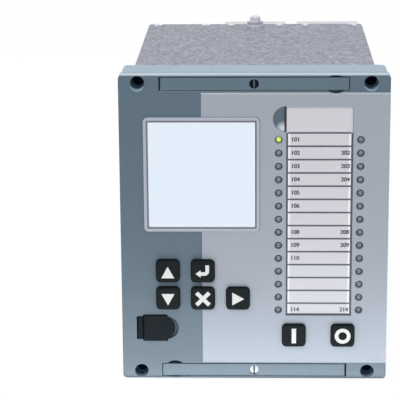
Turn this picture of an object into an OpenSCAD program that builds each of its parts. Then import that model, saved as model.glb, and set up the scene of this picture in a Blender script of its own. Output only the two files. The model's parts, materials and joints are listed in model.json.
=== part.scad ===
// Panel-mounted protection relay: a steel case that stays on the panel and a unit that
// slides out of it to the front. The origin is the middle of the panel fixing holes on the
// panel's surface. X is right seen from the front, Y points to the rear and Z is up.

/* [Fascia] */
// Distance from the fascia's left edge to the display's frame
lcd_left = 13.45; // [12.5:0.05:16]
// Distance from the display's frame to the left lamps
lcd_to_lamps = 10.55; // [9:0.05:14]
// Distance from the lamps to the label strip
lamp_gap = 4.2; // [3:0.1:6]
// Distance from the right lamps to the fascia's right edge
lamps_right = 16; // [15:0.1:20]
// Distance from the fascia's top to the display's frame
lcd_top = 23.95; // [22:0.05:28]
// Distance from the fascia's top to the label strip
label_top = 18.2; // [17:0.1:22]
// Distance from the label strip to the middle of the command keys
command_drop = 11.5; // [10:0.1:14]
// Distance from the middle of the command keys to the fascia's bottom
command_low = 26.4; // [25:0.1:32]
// Distance that the fascia's front stands out from the panel
front_depth = 31; // [29:0.5:36]
// Depth of the fascia moulding
fascia_depth = 9.5; // [9.2:0.1:11]
// Thickness of the fascia's front wall
fascia_wall = 2.5; // [2.3:0.1:3]
// Thickness of the fascia's side rim
fascia_rim = 1.8; // [1.2:0.1:2.4]
// Corner radius of the fascia
corner_r = 2.4; // [1.5:0.1:4]
// Chamfer round the fascia's front edge
edge_chamfer = 0.5; // [0.2:0.1:0.8]
// Diameter of the bosses that take the fascia's screws
boss_d = 6.4; // [5:0.2:7]

/* [Panel fixing] */
// Distance from the fascia's sides to the fixing holes
fix_side = 10.7; // [10:0.1:12]
// Distance from the fascia's top and bottom to the fixing holes
fix_edge = 4.5; // [4.3:0.1:5]
// Diameter of the fixing holes in the frame
fix_hole_d = 4.5; // [3.5:0.1:5]
// Diameter of the screwdriver holes in the fascia
access_d = 7.8; // [7:0.1:8]
// Diameter of the screw-head seats in the frame
head_seat_d = 7; // [6:0.1:7.4]
// Thickness of the frame under the screw heads
fix_flange = 3; // [2:0.5:5]

/* [Mounting frame] */
// Step in from the fascia's sides to the frame's sides
frame_step_x = 0.7; // [0.3:0.1:1]
// Step in from the fascia's top to the frame's top
frame_step_z = 0.3; // [0.1:0.1:0.4]
// Lip that covers the front edge of the shell
frame_lip = 0.3; // [0.1:0.1:0.5]
// Depth of the rebate that takes the shell
frame_rebate = 8; // [6:0.5:9]
// Wall left round the frame's hollows
core_wall = 2; // [1.5:0.1:2.4]
// Width of the solid left at each corner hole
corner_block = 13; // [10:0.5:16]
// Width of the solid left round the handle screw's insert
insert_block = 16; // [12:0.5:20]
// Gap between the fascia and the frame
seat_gap = 0.2; // [0.1:0.05:0.3]

/* [Case] */
// Distance from the fascia's sides to the case's sides
case_side = 3.45; // [3:0.05:4.5]
// Distance from the fascia's top to the case's top
case_top = 10; // [9.8:0.1:10.6]
// Distance from the panel to the rear edge of the case
case_depth = 200; // [195:1:230]
// Thickness of the case's sheet
case_sheet = 1.2; // [0.9:0.1:1.5]
// Outside radius of the case's bends
bend_r = 2; // [1.6:0.1:3]
// Thickness of the rear panel
rear_sheet = 1.5; // [1:0.1:2]
// Distance that the rear panel sits in from the rear edge
rear_inset = 1.5; // [0.5:0.1:3]
// Width of the rear panel's tabs
tab_w = 5; // [3:0.5:6]
// Distance of the rear panel's inner tabs from the middle
tab_inner_x = 16; // [12:0.5:20]
// Distance of the rear panel's middle tabs from the middle
tab_middle_x = 33.3; // [28:0.1:40]
// Distance of the rear panel's outer tabs from its side edges
tab_edge = 5.35; // [4:0.05:8]
// Gap round pieces that are set into one another
fit_gap = 0.15; // [0.1:0.05:0.2]
// Diameter of the frame's rivets
rivet_d = 3.2; // [2.4:0.1:4]
// Distance of the rivets from the middle
rivet_x = 40; // [30:1:50]
// Height of the rivets' heads
rivet_head_h = 1; // [0.6:0.1:1.2]

/* [Runners] */
// Width of a runner
rail_w = 8; // [6:0.5:9]
// Height of a runner
rail_h = 5; // [4:0.2:6]
// Floor under a runner's groove
rail_floor = 1.2; // [0.8:0.1:1.6]
// Gap between a runner's groove and the chassis
rail_gap = 0.2; // [0.1:0.05:0.3]
// Distance from the panel to the runners' front ends
rail_front = 4; // [2:0.5:10]
// Length of the runners past the chassis's rear end
rail_over = 3; // [1:0.5:4]

/* [Terminal blocks] */
// Distance from the case's sides to the terminal blocks
block_side = 2.45; // [1.8:0.05:4]
// Width of a terminal block
block_w = 41; // [38:0.5:44]
// Gap between the terminal blocks and the case's top and bottom
block_gap = 0.2; // [0.15:0.05:2]
// Distance that a terminal block stands out from the rear panel
block_depth = 20; // [14:0.5:24]
// Width of the part of a block inside the case
plug_w = 24; // [20:0.5:26]
// Length of a block's ears above and below the part inside the case
ear_l = 10.1; // [8:0.1:12]
// Distance that a block reaches into the case
plug_depth = 12; // [11.8:0.1:13]
// Rows of terminals on a block
term_rows = 14; // [10:1:14]
// Length of a block's ends beyond the rows of terminals
term_end = 8.5; // [8:0.1:11]
// Thickness of the ribs between the rows
term_rib = 1.6; // [1:0.1:1.8]
// Depth of the terminals' pockets
term_pocket = 3.5; // [3.2:0.1:3.8]
// Thickness of the rib between the two columns
middle_rib = 3; // [2:0.2:4]
// Thickness of a block's side walls
block_wall = 1.5; // [1:0.1:2]
// Diameter of a terminal screw
term_screw_d = 3.9; // [3:0.1:4.2]
// Length of a terminal screw below its head
term_screw_l = 8; // [6:0.5:9]
// Diameter of a terminal screw's head
term_head_d = 7; // [6:0.1:7.4]
// Height of a terminal screw's head
term_head_h = 2.2; // [1.6:0.1:2.3]
// Width of the square clamping plate
clamp_w = 7.6; // [7:0.1:7.8]
// Thickness of the square clamping plate
clamp_h = 0.8; // [0.5:0.1:0.9]
// Thickness of a block where its fixing screws hold it
ear_h = 5; // [4:0.2:6]
// Thickness of the blanking plate
blank_sheet = 1.2; // [0.8:0.1:2]

/* [Earth terminal] */
// Distance of the earth screw from the case's rear edge
earth_inset = 9; // [8:0.5:14]
// Diameter of the earth screw
earth_d = 4; // [3.5:0.1:5]
// Diameter of the earth screw's head
earth_head_d = 7; // [6:0.1:9]
// Height of the earth screw's head
earth_head_h = 6; // [4:0.1:8]
// Diameter of the earth washer
earth_washer_d = 10.9; // [9.5:0.1:12]
// Thickness of the earth washer
earth_washer_h = 1.2; // [0.5:0.1:1.6]
// Width across the flats of the earth nut
earth_nut_w = 7; // [6.5:0.1:8]
// Height of the earth nut
earth_nut_h = 3.2; // [2.4:0.1:4]

/* [Overlay] */
// Distance of the overlay's left edge to the left of the display's middle
overlay_shift = 0.1; // [0:0.1:1]
// Distance from the fascia's top to the overlay
overlay_head = 9.9; // [9.6:0.1:11]
// Distance from the fascia's bottom to the overlay
overlay_foot = 9.7; // [9.6:0.1:11]
// Thickness of the overlay
overlay_h = 1.2; // [1:0.1:1.3]
// Distance that the overlay stands proud of the fascia
overlay_proud = 0.2; // [0.1:0.05:0.3]

/* [Display] */
// Width of the visible display
lcd_w = 59.5; // [54:0.5:66]
// Height of the visible display
lcd_h = 60.1; // [54:0.1:66]
// Width of the frame round the display
bezel_border = 2.7; // [2.2:0.1:3.2]
// Distance that the frame stands proud of the fascia
bezel_proud = 0.8; // [0.4:0.1:1.2]
// Outside corner radius of the frame
bezel_r = 2.7; // [1.5:0.1:3.5]
// Thickness of the collar that holds the window
collar_wall = 1; // [0.6:0.1:1.2]
// Depth of the window below the fascia's front
window_sunk = 0.3; // [0.1:0.1:0.8]
// Margin of the display module round the view
module_margin = 4; // [3:0.2:4.6]
// Thickness of the display module
module_h = 6; // [4:0.2:7]

/* [Label strip] */
// Width of the label strip
label_w = 37.1; // [34:0.1:42]
// Height of the label strip's head above the lamps' rows
label_head = 14.22; // [12:0.02:18]
// Thickness of the label card
card_h = 0.4; // [0.2:0.1:0.7]
// Distance of the thumb notch's middle below the label's top
notch_drop = 6.7; // [6:0.1:9]
// Radius of the thumb notch at the surface
notch_r = 7.4; // [6:0.1:8]
// Depth of the thumb notch
notch_depth = 2; // [1.4:0.1:2.1]

/* [Lamps] */
// Lamps in a column
led_rows = 14; // [8:1:14]
// Distance between the lamps
led_pitch = 7.62; // [7:0.02:8.4]
// Distance of the lamps below the middle of the label's rows
led_drop = 0.44; // [0:0.02:1]
// Diameter of a lamp
led_d = 3; // [2:0.1:3.2]
// Diameter of the lamp holes in the overlay
led_hole_d = 4.4; // [4:0.1:5]
// Depth of a lamp's tip below the fascia's front
led_sunk = 0.2; // [0:0.1:0.6]
// Height of a lamp's domed tip
led_dome = 0.8; // [0.4:0.1:1.2]

/* [Keys] */
// Width of a key
key_w = 13; // [12:0.1:13.4]
// Corner radius of a key
key_r = 2.2; // [1.2:0.1:3]
// Distance that a key stands proud of the overlay
key_proud = 2.2; // [1.4:0.1:3]
// Chamfer round a key's front
key_chamfer = 0.5; // [0.2:0.1:0.8]
// Travel of a key
key_travel = 1; // [0.6:0.1:1.4]
// Gap round a key
key_gap = 0.3; // [0.25:0.05:0.5]
// Width of a key's flange
key_flange_w = 15.2; // [14.6:0.1:15.6]
// Thickness of a key's flange
key_flange_h = 1.2; // [0.8:0.1:1.6]
// Diameter of a key's stem
key_stem_d = 4; // [3:0.1:5]
// Distance of the navigation keys to the right of the display's middle
nav_shift = 0.3; // [0:0.1:1]
// Distance from the display's frame to the upper row of navigation keys
nav_drop = 23.05; // [12:0.05:26]
// Distance between the navigation keys across
nav_pitch_x = 19.8; // [18:0.1:20]
// Distance between the navigation keys up
nav_pitch_z = 16.1; // [16:0.1:16.6]
// Distance of the command keys from the label's middle
command_x = 13.85; // [12:0.05:14.2]

/* [Handles] */
// Distance from the fascia's sides to a handle bar
handle_end = 22.95; // [21:0.05:28]
// Height of a handle bar
handle_h = 7; // [6.4:0.1:7.2]
// Thickness of a handle bar
handle_t = 6.8; // [6.2:0.1:7]
// Distance from the fascia's top to the middle of a handle bar
handle_edge = 5.1; // [5:0.05:5.3]
// Gap round a handle bar
handle_gap = 0.45; // [0.35:0.05:0.5]
// Gap behind a handle bar
handle_back_gap = 0.7; // [0.5:0.1:0.9]
// Distance from a handle bar's end to its hinge
handle_heel = 3.4; // [3:0.1:4]
// Depth of a handle's hinge below the fascia's front
handle_axis_depth = 2; // [1.95:0.05:2.1]
// Diameter of a handle's hinge pin
handle_pin_d = 1.5; // [1.3:0.1:1.6]
// Running clearance of the hinge pins
pin_gap = 0.05; // [0.02:0.01:0.08]
// Distance from a handle bar's end to the middle of its finger notch
finger_end = 7.05; // [6:0.05:10]
// Width of the finger notches
finger_w = 9; // [7:0.2:11]
// Depth of the finger notch on the inner side
finger_in = 1.6; // [1:0.1:1.8]
// Depth of the finger notch on the outer side
finger_out = 0.7; // [0.3:0.1:0.8]
// Depth of the finger notches into the fascia
finger_depth = 4; // [3:0.2:6]

/* [Handle screws] */
// Diameter of a handle screw's head
latch_head_d = 5.2; // [4.6:0.1:5.6]
// Height of a handle screw's head
latch_head_h = 2.2; // [1.6:0.1:2.6]
// Depth of the head below the handle's front
latch_sunk = 0.8; // [0.4:0.1:1.2]
// Diameter of a handle screw's shank
latch_shank_d = 3; // [2.6:0.1:3.2]
// Length that the shank reaches into the insert
latch_reach = 2.3; // [1.5:0.1:2.6]
// Radial room for the shank as the handle swings
latch_room = 1.25; // [1.2:0.05:1.3]
// Outside diameter of the insert
insert_d = 7.6; // [7.2:0.1:7.8]
// Length of the insert
insert_l = 11; // [8:0.5:14]
// Width of a screwdriver slot
slot_w = 0.9; // [0.6:0.1:1.2]

/* [Service port] */
// Distance from the fascia's left edge to the flap's hinge
flap_side = 10.55; // [10:0.05:12]
// Distance from the lower navigation keys to the middle of the flap
flap_drop = 18.1; // [17.6:0.1:22]
// Distance from the middle of the flap to the fascia's bottom
flap_low = 30.3; // [30:0.1:36]
// Depth of the flap's hinge below the fascia's front
flap_axis_depth = 1.1; // [1:0.05:1.2]
// Diameter of the flap's barrel
barrel_d = 3.8; // [3.4:0.1:4]
// Length of the flap's barrel
barrel_l = 12.9; // [11:0.1:13.5]
// Diameter of the flap's pin
flap_pin_d = 1.2; // [1:0.1:1.4]
// Length of the flap's pin in the fascia at each end
flap_pin_grip = 1.8; // [1:0.1:2]
// Distance from the hinge to the flap's body
flap_neck = 2.05; // [2:0.05:2.4]
// Thickness of the flap's neck
flap_neck_t = 0.8; // [0.6:0.1:1.2]
// Width of the flap's body
flap_w = 13; // [12.6:0.1:13.4]
// Height of the flap's body
flap_h = 14.9; // [14:0.1:15.2]
// Distance that the flap stands proud of the fascia
flap_proud = 0.9; // [0.6:0.1:1.2]
// Thickness of the flap
flap_t = 1.8; // [1.4:0.1:2]
// Length of the flap's tab
flap_tab_l = 4.6; // [3.5:0.1:5]
// Height of the flap's tab
flap_tab_h = 11.4; // [9:0.1:12]
// Thickness of the flap's tab
flap_tab_t = 1.1; // [0.8:0.1:1.4]
// Gap round the flap
flap_gap = 0.4; // [0.35:0.05:0.5]
// Depth of the finger scoop under the tab
scoop_depth = 1.6; // [1.4:0.1:1.9]
// Margin of the finger scoop round the tab
scoop_margin = 2; // [1:0.1:2.4]
// Thickness of the fascia behind the hinge
port_floor = 1.6; // [1:0.1:2.4]
// Margin of the thicker patch behind the port
port_margin = 1.8; // [1.2:0.1:2]
// Width of the socket
socket_w = 12; // [11.5:0.1:12.2]
// Height of the socket
socket_h = 11; // [10.5:0.1:12]
// Width of the socket's mouth
mouth_w = 8.6; // [8:0.1:9]
// Height of the socket's mouth
mouth_h = 7.9; // [7:0.1:8.5]
// Depth of the socket's mouth
mouth_depth = 9; // [7:0.5:11]
// Width of the socket's tongue
tongue_w = 5.6; // [5:0.1:6]
// Height of the socket's tongue
tongue_h = 3.2; // [2.8:0.1:3.4]

/* [Boards] */
// Thickness of a board
board_t = 1.6; // [1.2:0.1:2]
// Distance from the fascia's front to the front board
hmi_depth = 15; // [14:0.1:16]
// Gap between the front board and the sides of the frame's opening
hmi_side = 1.75; // [1:0.05:3]
// Gap between the front board and the ends of the frame's opening
hmi_end = 3; // [2:0.1:4]
// Distance of the fascia's screws from the front board's ends
boss_end = 2.8; // [2.4:0.1:3.4]
// Gap between the heads of the fascia's screws and the chassis's sides
boss_gap = 0.6; // [0.4:0.1:1]
// Height of a key switch's body
switch_h = 3.5; // [2.5:0.1:4]
// Width of a key switch's body
switch_w = 6; // [5:0.1:7]
// Height of a key switch's button
button_h = 0.8; // [0.5:0.1:1]
// Diameter of a key switch's button
button_d = 3.4; // [3:0.1:4]
// Gap between a pressed key and its switch
switch_gap = 0.15; // [0.1:0.05:0.3]
// Distance between the front board and the chassis
spacer_l = 6.4; // [5:0.1:8]
// Outside diameter of the spacers
spacer_d = 5.2; // [4.6:0.1:5.4]
// Distance from the case's top and bottom to the inner boards
board_end = 10.5; // [10:0.1:13]
// Depth that an inner board reaches into its rear connector
board_grip = 6; // [4:0.5:8]
// Height of the connectors on the front board
link_h = 50; // [30:1:60]
// Width of the connectors on the front board
link_w = 7; // [5:0.5:8]
// Depth that a board reaches into its connector
link_grip = 4; // [2:0.5:6]

/* [Chassis] */
// Thickness of the chassis sheet
chassis_sheet = 1.2; // [1:0.1:1.5]
// Distance from the rear connectors' front to the chassis's rear end
chassis_back = 9; // [8:0.5:10]
// Distance of the front plate's ends from the sides' ends
front_end = 1.4; // [0.5:0.1:2.5]
// Width of the tabs at the chassis's rear end
chassis_tab = 9; // [8:0.5:10]
// Openings in each side of the chassis
vent_count = 5; // [3:1:7]
// Width of the bars between the openings
vent_bar = 5; // [3:0.5:12]
// Distance of the openings from the ends of the chassis's side
vent_end = 25.9; // [20:0.1:40]
// Distance from the panel to the openings' ends at the front
vent_front = 35; // [32:1:38]
// Distance from the chassis's rear end to the openings
vent_back = 32; // [28:1:40]
// Depth of a card guide
guide_d = 8; // [6:0.5:10]
// Height of a card guide
guide_h = 6; // [5:0.2:7]
// Depth that a board sits in its guide
guide_grip = 2.8; // [2:0.1:3]
// Distance from the panel to the front card guides
guide_front = 20; // [16:1:24]
// Distance from the chassis's rear end to the rear card guides
guide_back = 27; // [22:1:28]
// Diameter of the small screws
screw_d = 2.9; // [2.4:0.1:3.2]
// Diameter of the small screws' heads
screw_head_d = 5.5; // [5:0.1:6]
// Height of the small screws' heads
screw_head_h = 1.6; // [1.2:0.1:2]
// Length of the small screws
screw_l = 10; // [9:0.5:11]
// Clearance of the small screws in their holes
screw_gap = 0.1; // [0.05:0.05:0.15]

/* [Rear connectors] */
// Width of a rear connector's body
conn_w = 12; // [10:0.5:14]
// Distance from the card guides to a rear connector's ends
conn_end = 3; // [2:0.1:10]
// Length of a rear connector's body
conn_l = 16; // [14:0.5:18]
// Gap between a rear connector's body and its terminal block
conn_gap = 1; // [0.6:0.1:2]
// Thickness of a rear connector's blade
blade_w = 5; // [4:0.1:5.4]
// Distance from a rear connector's ends to its blade
blade_end = 3; // [1:0.1:8]
// Length of a rear connector's blade
blade_l = 11; // [9:0.5:12]
// Gap round a blade in its block
blade_gap = 0.5; // [0.3:0.1:0.8]

/* [Components] */
// Current transformers on the analogue board
ct_count = 5; // [3:1:5]
// Distance from the analogue board's ends to the current transformers
ct_end = 4.8; // [3:0.1:10]
// Gap between the current transformers
ct_gap = 1; // [0.5:0.1:4]
// Height of a current transformer above its board
ct_h = 22; // [16:0.5:23]
// Length of a current transformer's core
ct_core_l = 28; // [20:1:34]
// Step from a current transformer's winding to its core
ct_step = 2; // [1:0.1:4]
// Length of a current transformer's winding
ct_coil_l = 16; // [10:0.5:18]
// Distance from the panel to the current transformers' middle
ct_y = 118; // [100:1:122]
// Rows of output relays
relay_rows = 4; // [2:1:4]
// Height of an output relay above its board
relay_h = 15; // [10:0.5:16]
// Length of an output relay
relay_l = 28; // [20:0.5:29]
// Width of an output relay
relay_w = 12; // [8:0.5:14]
// Distance between the output relays up the board
relay_pitch_z = 28; // [16:0.5:30]
// Distance between the output relays along the board
relay_pitch_y = 40; // [31:1:44]
// Distance from the panel to the output relays' middle
relay_y = 90; // [80:1:100]
// Length of the power transformer's core
power_l = 40; // [30:1:44]
// Width of the power transformer's core
power_w = 34; // [24:1:36]
// Height of the power transformer above its board
power_h = 20; // [14:0.5:21]
// Length of the power transformer's winding
power_coil_l = 26; // [16:1:28]
// Width of the power transformer's winding
power_coil_w = 42; // [37:1:46]
// Distance from the panel to the power transformer's middle
power_y = 110; // [100:1:116]
// Height of the power transformer's middle
power_z = 28; // [20:1:34]
// Capacitors on the power board
cap_count = 3; // [2:1:4]
// Diameter of a capacitor
cap_d = 16; // [10:0.5:18]
// Height of a capacitor above its board
cap_h = 20; // [12:0.5:21]
// Distance between the capacitors
cap_pitch = 22; // [19:0.5:26]
// Distance from the panel to the capacitors' middle
cap_y = 90; // [80:1:96]
// Height of the capacitors' middle
cap_z = -30; // [-36:1:-20]

/* [Hidden] */
$fn = 48;
corner_steps = 6;
bite = 0.5;

bezel_w = lcd_w + 2 * bezel_border;
bezel_h = lcd_h + 2 * bezel_border;
label_h = label_head + led_rows * led_pitch;
led_x = label_w / 2 + lamp_gap;
face_w = lcd_left + bezel_w + lcd_to_lamps + 2 * led_x + lamps_right;
label_column = label_top + label_h + command_drop + command_low;
display_column = lcd_top + bezel_h + nav_drop + nav_pitch_z + flap_drop + flap_low;
face_h = max(label_column, display_column);

lcd_x = lcd_left + bezel_w / 2 - face_w / 2;
lcd_z = face_h / 2 - lcd_top - bezel_h / 2;
nav_x = lcd_x + nav_shift;
nav_z = lcd_z - bezel_h / 2 - nav_drop;
flap_x = flap_side - face_w / 2;
flap_z = nav_z - nav_pitch_z - flap_drop;
label_x = face_w / 2 - lamps_right - led_x;
label_z = face_h / 2 - label_top - label_h / 2;
led_z = label_z - label_h / 2 + led_rows * led_pitch / 2 - led_drop;
command_z = label_z - label_h / 2 - command_drop;
overlay_left = lcd_x - overlay_shift;
overlay_top = face_h / 2 - overlay_head;
overlay_bottom = overlay_foot - face_h / 2;
handle_l = face_w - 2 * handle_end;
handle_z = face_h / 2 - handle_edge;
finger_x = handle_l / 2 - finger_end;
finger_reach = finger_w / 2 + bite;
case_w = face_w - 2 * case_side;
case_h = face_h - 2 * case_top;

y_face = -front_depth;
y_wall = y_face + fascia_wall;
y_back = y_face + fascia_depth;
y_frame = y_back + seat_gap;
y_overlay = y_face - overlay_proud;
y_recess = y_overlay + overlay_h;
y_hmi = y_face + hmi_depth;
y_link = y_hmi + board_t;
y_chassis = y_link + spacer_l;
y_plate = y_chassis + chassis_sheet;
y_rear_out = case_depth - rear_inset;
y_rear_in = y_rear_out - rear_sheet;
y_plug = y_rear_in - plug_depth;
y_block = y_rear_out + block_depth;
y_board = 0;

fix_x = face_w / 2 - fix_side;
fix_z = face_h / 2 - fix_edge;
frame_w = face_w - 2 * frame_step_x;
frame_h = face_h - 2 * frame_step_z;
inner_w = case_w - 2 * case_sheet;
inner_h = case_h - 2 * case_sheet;
open_w = inner_w - 2 * frame_lip;
open_h = inner_h - 2 * frame_lip;
rivet_y = -frame_rebate / 2;
rivet_grip = 5;
earth_y = case_depth - earth_inset;
earth_tip = 1;
earth_l = earth_washer_h + case_sheet + earth_nut_h + earth_tip;
blind = 1;

tab_outer_x = inner_w / 2 - tab_edge;
block_h = inner_h - 2 * block_gap;
block_pitch = (case_w - block_w) / 2 - block_side;
plug_h = block_h - 2 * ear_l;
term_pitch = (block_h - 2 * term_end) / term_rows;

conn_rear = y_plug - conn_gap;
conn_front = conn_rear - conn_l;
board_l = conn_front + board_grip - y_board;
board_h = inner_h - 2 * board_end;
chassis_rear = conn_front + chassis_back;
rail_rear = chassis_rear + rail_over;
guide_rear = chassis_rear - guide_back;
vent_rear = chassis_rear - vent_back;
vent_l = (vent_rear - vent_front - (vent_count - 1) * vent_bar) / vent_count;

side_x = inner_w / 2 - (bend_r - case_sheet) - fit_gap - rail_w / 2;
side_in = side_x - chassis_sheet / 2;
side_out = side_x + chassis_sheet / 2;
side_h = inner_h - 2 * rail_floor - 2 * rail_gap;
vent_h = side_h - 2 * vent_end;
chassis_front_h = side_h - 2 * front_end;
hmi_w = open_w - 2 * hmi_side;
hmi_h = open_h - 2 * hmi_end;
boss_x = side_in - screw_head_d / 2 - boss_gap;
boss_z = hmi_h / 2 - boss_end;
cavity_z = handle_z - handle_h / 2 - handle_gap - fascia_rim;
guide_z = board_h / 2 - guide_grip;
guide_screw_z = guide_z + guide_h / 2;
conn_h = 2 * (guide_z - conn_end);
blade_h = conn_h - 2 * blade_end;
ct_pitch = (board_h - 2 * ct_end + ct_gap) / ct_count;
ct_coil_w = ct_pitch - ct_gap;
ct_core_w = ct_coil_w - 2 * ct_step;
positions = [-block_pitch, 0, block_pitch];
fitted = [0, block_pitch];
pocket_w = (block_w - middle_rib - 2 * block_wall) / 2;
pocket_x = (middle_rib + pocket_w) / 2;
ear_z = (plug_h + block_h) / 4;
tab_screw_x = side_in - chassis_tab / 2;
tab_screw_z = guide_z - screw_head_d;
coil_bulge = 1;

y_bezel = y_face - bezel_proud;
bezel_chamfer = bezel_proud / 2;
collar_w = lcd_w + 2 * collar_wall;
collar_h = lcd_h + 2 * collar_wall;
lcd_open_w = collar_w + 2 * fit_gap;
lcd_open_h = collar_h + 2 * fit_gap;
module_w = lcd_w + 2 * module_margin;
module_hh = lcd_h + 2 * module_margin;
module_post = 2.6;
y_module = y_wall + module_h;

notch_x = label_x - label_w / 2;
notch_z = label_z + label_h / 2 - notch_drop;
notch_brim = notch_r + bite;
notch_sphere = (notch_brim * notch_brim + notch_depth * notch_depth) / (2 * notch_depth);
led_rest = y_face + led_sunk;
led_gap = 0.2;

pivot_x = handle_heel - handle_l / 2;
pivot_y = y_face + handle_axis_depth;
channel_h = handle_h + 2 * handle_gap;
channel_low = handle_z - channel_h / 2;
channel_high = handle_z + channel_h / 2;
channel_depth = handle_t + handle_back_gap;
pin_blind = 0.5;
latch_seat = y_face + latch_sunk + latch_head_h;
latch_tip = y_frame + latch_reach;
latch_gap = 0.1;
room_d = latch_shank_d + 2 * latch_room;

y_flap = y_face + flap_axis_depth;
flap_front = y_face - flap_proud;
flap_back = flap_front + flap_t;
flap_left = flap_x + flap_neck;
flap_right = flap_left + flap_w;
flap_mid = (flap_left + flap_right) / 2;
y_port = y_flap + barrel_d / 2 + flap_gap;
y_pad = y_port + port_floor;
y_mouth = flap_back + flap_gap;
pin_z = barrel_l / 2 + flap_gap + flap_pin_grip;

key_stem_end = y_hmi - switch_h - button_h - switch_gap - key_travel;
key_places = [
    [nav_x - nav_pitch_x, nav_z],
    [nav_x - nav_pitch_x, nav_z - nav_pitch_z],
    [nav_x, nav_z],
    [nav_x, nav_z - nav_pitch_z],
    [nav_x + nav_pitch_x, nav_z - nav_pitch_z],
    [label_x - command_x, command_z],
    [label_x + command_x, command_z]
];

// Colours
blue_grey = [0.45, 0.52, 0.56];
light_blue = [0.62, 0.70, 0.75];
silver_grey = [0.70, 0.73, 0.77];
galvanised = [0.66, 0.67, 0.69];
zinc = [0.75, 0.76, 0.78];
near_black = [0.14, 0.16, 0.18];
pale_grey = [0.80, 0.80, 0.78];
board_green = [0.10, 0.35, 0.22];
winding = [0.55, 0.32, 0.16];

// A flat shape drawn in X and Z, thick in Y
module slab(y0, y1) {
    translate([0, y1, 0])
        rotate([90, 0, 0])
            linear_extrude(y1 - y0)
                children();
}

// A flat shape drawn in Y and Z, long in X
module bar_x(x0, x1) {
    translate([x0, 0, 0])
        rotate([90, 0, 90])
            linear_extrude(x1 - x0)
                children();
}

// A flat shape drawn in X and Y, tall in Z
module bar_z(z0, z1) {
    translate([0, 0, z0])
        linear_extrude(z1 - z0)
            children();
}

// A round bar along Y
module rod_y(d, y0, y1) {
    translate([0, y0, 0])
        rotate([-90, 0, 0])
            cylinder(d = d, h = y1 - y0);
}

// A rectangle from two corners
module rect(x0, z0, x1, z1) {
    translate([x0, z0])
        square([x1 - x0, z1 - z0]);
}

// Corner points of a rectangle with round corners
function round_points(w, h, r) = [
    for (q = [0:3])
        for (i = [0:corner_steps])
            let (a = 90 * q + 90 * i / corner_steps)
                let (cx = (q == 0 || q == 3) ? w / 2 - r : r - w / 2)
                    let (cz = (q < 2) ? h / 2 - r : r - h / 2)
                        [cx + r * cos(a), cz + r * sin(a)]
];

module round_rect(w, h, r) {
    polygon(round_points(w, h, r));
}

// Half of an ellipse that bulges to the right
module half_ellipse(x, z, l, h) {
    steps = 12;
    polygon([
        for (i = [0:steps])
            let (a = -90 + 180 * i / steps)
                [x + l * cos(a), z + h / 2 * sin(a)]
    ]);
}

// A plate with round corners and a chamfer round its front
module chamfered_plate(w, h, r, c, y0, y1) {
    intersection() {
        slab(y0, y1)
            round_rect(w, h, r);
        bar_x(-w / 2 - bite, w / 2 + bite)
            polygon([
                [y0, -h / 2 + c], [y0 + c, -h / 2], [y1, -h / 2],
                [y1, h / 2], [y0 + c, h / 2], [y0, h / 2 - c]
            ]);
        bar_z(-h / 2 - bite, h / 2 + bite)
            polygon([
                [-w / 2 + c, y0], [-w / 2, y0 + c], [-w / 2, y1],
                [w / 2, y1], [w / 2, y0 + c], [w / 2 - c, y0]
            ]);
    }
}

// Both handles and what belongs to them are alike, half a turn apart
module at_handles() {
    children();
    rotate([0, 180, 0])
        children();
}

module at_corners(x, z) {
    for (sx = [-1, 1])
        for (sz = [-1, 1])
            translate([sx * x, 0, sz * z])
                children();
}

// A slotted pan-head screw along Y with its head seat at the origin
module small_screw(length) {
    difference() {
        union() {
            rod_y(screw_head_d, 0, screw_head_h);
            rod_y(screw_d, -length, 0);
        }
        translate([-screw_head_d / 2 - bite, screw_head_h / 2, -slot_w / 2])
            cube([screw_head_d + 2 * bite, screw_head_h, slot_w]);
    }
}

// Case: what stays on the panel

module at_rivets() {
    for (sx = [-1, 1])
        for (sz = [0, 1])
            mirror([0, 0, sz])
                translate([sx * rivet_x, rivet_y, inner_h / 2])
                    children();
}

module at_tabs() {
    for (x = [tab_inner_x, tab_middle_x, tab_outer_x])
        for (sx = [-1, 1])
            for (sz = [0, 1])
                mirror([0, 0, sz])
                    translate([sx * x, 0, inner_h / 2])
                        children();
}

module case_shell() {
    color(galvanised)
        difference() {
            slab(-frame_rebate, case_depth)
                difference() {
                    round_rect(case_w, case_h, bend_r);
                    round_rect(inner_w, inner_h, bend_r - case_sheet);
                }
            at_tabs()
                translate([-tab_w / 2 - fit_gap, y_rear_in - fit_gap, -bite])
                    cube([tab_w + 2 * fit_gap, rear_sheet + rear_inset + bite, case_sheet + 2 * bite]);
            at_rivets()
                translate([0, 0, -bite])
                    cylinder(d = rivet_d + 2 * screw_gap, h = case_sheet + 2 * bite);
            translate([0, earth_y, inner_h / 2 - bite])
                cylinder(d = earth_d + 2 * screw_gap, h = case_sheet + 2 * bite);
        }
}

module rear_panel() {
    color(galvanised)
        difference() {
            union() {
                slab(y_rear_in, y_rear_out)
                    round_rect(inner_w - 2 * fit_gap, inner_h - 2 * fit_gap, bend_r - case_sheet);
                at_tabs()
                    translate([-tab_w / 2, y_rear_in, -bite])
                        cube([tab_w, rear_sheet, case_sheet / 2 + bite]);
            }
            for (x = positions)
                slab(y_rear_in - bite, y_rear_out + bite)
                    rect(x - plug_w / 2 - fit_gap, -plug_h / 2 - fit_gap,
                        x + plug_w / 2 + fit_gap, plug_h / 2 + fit_gap);
            at_rear_screws()
                rod_y(screw_d + 2 * screw_gap, y_rear_in - bite, y_rear_out + bite);
        }
}

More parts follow.
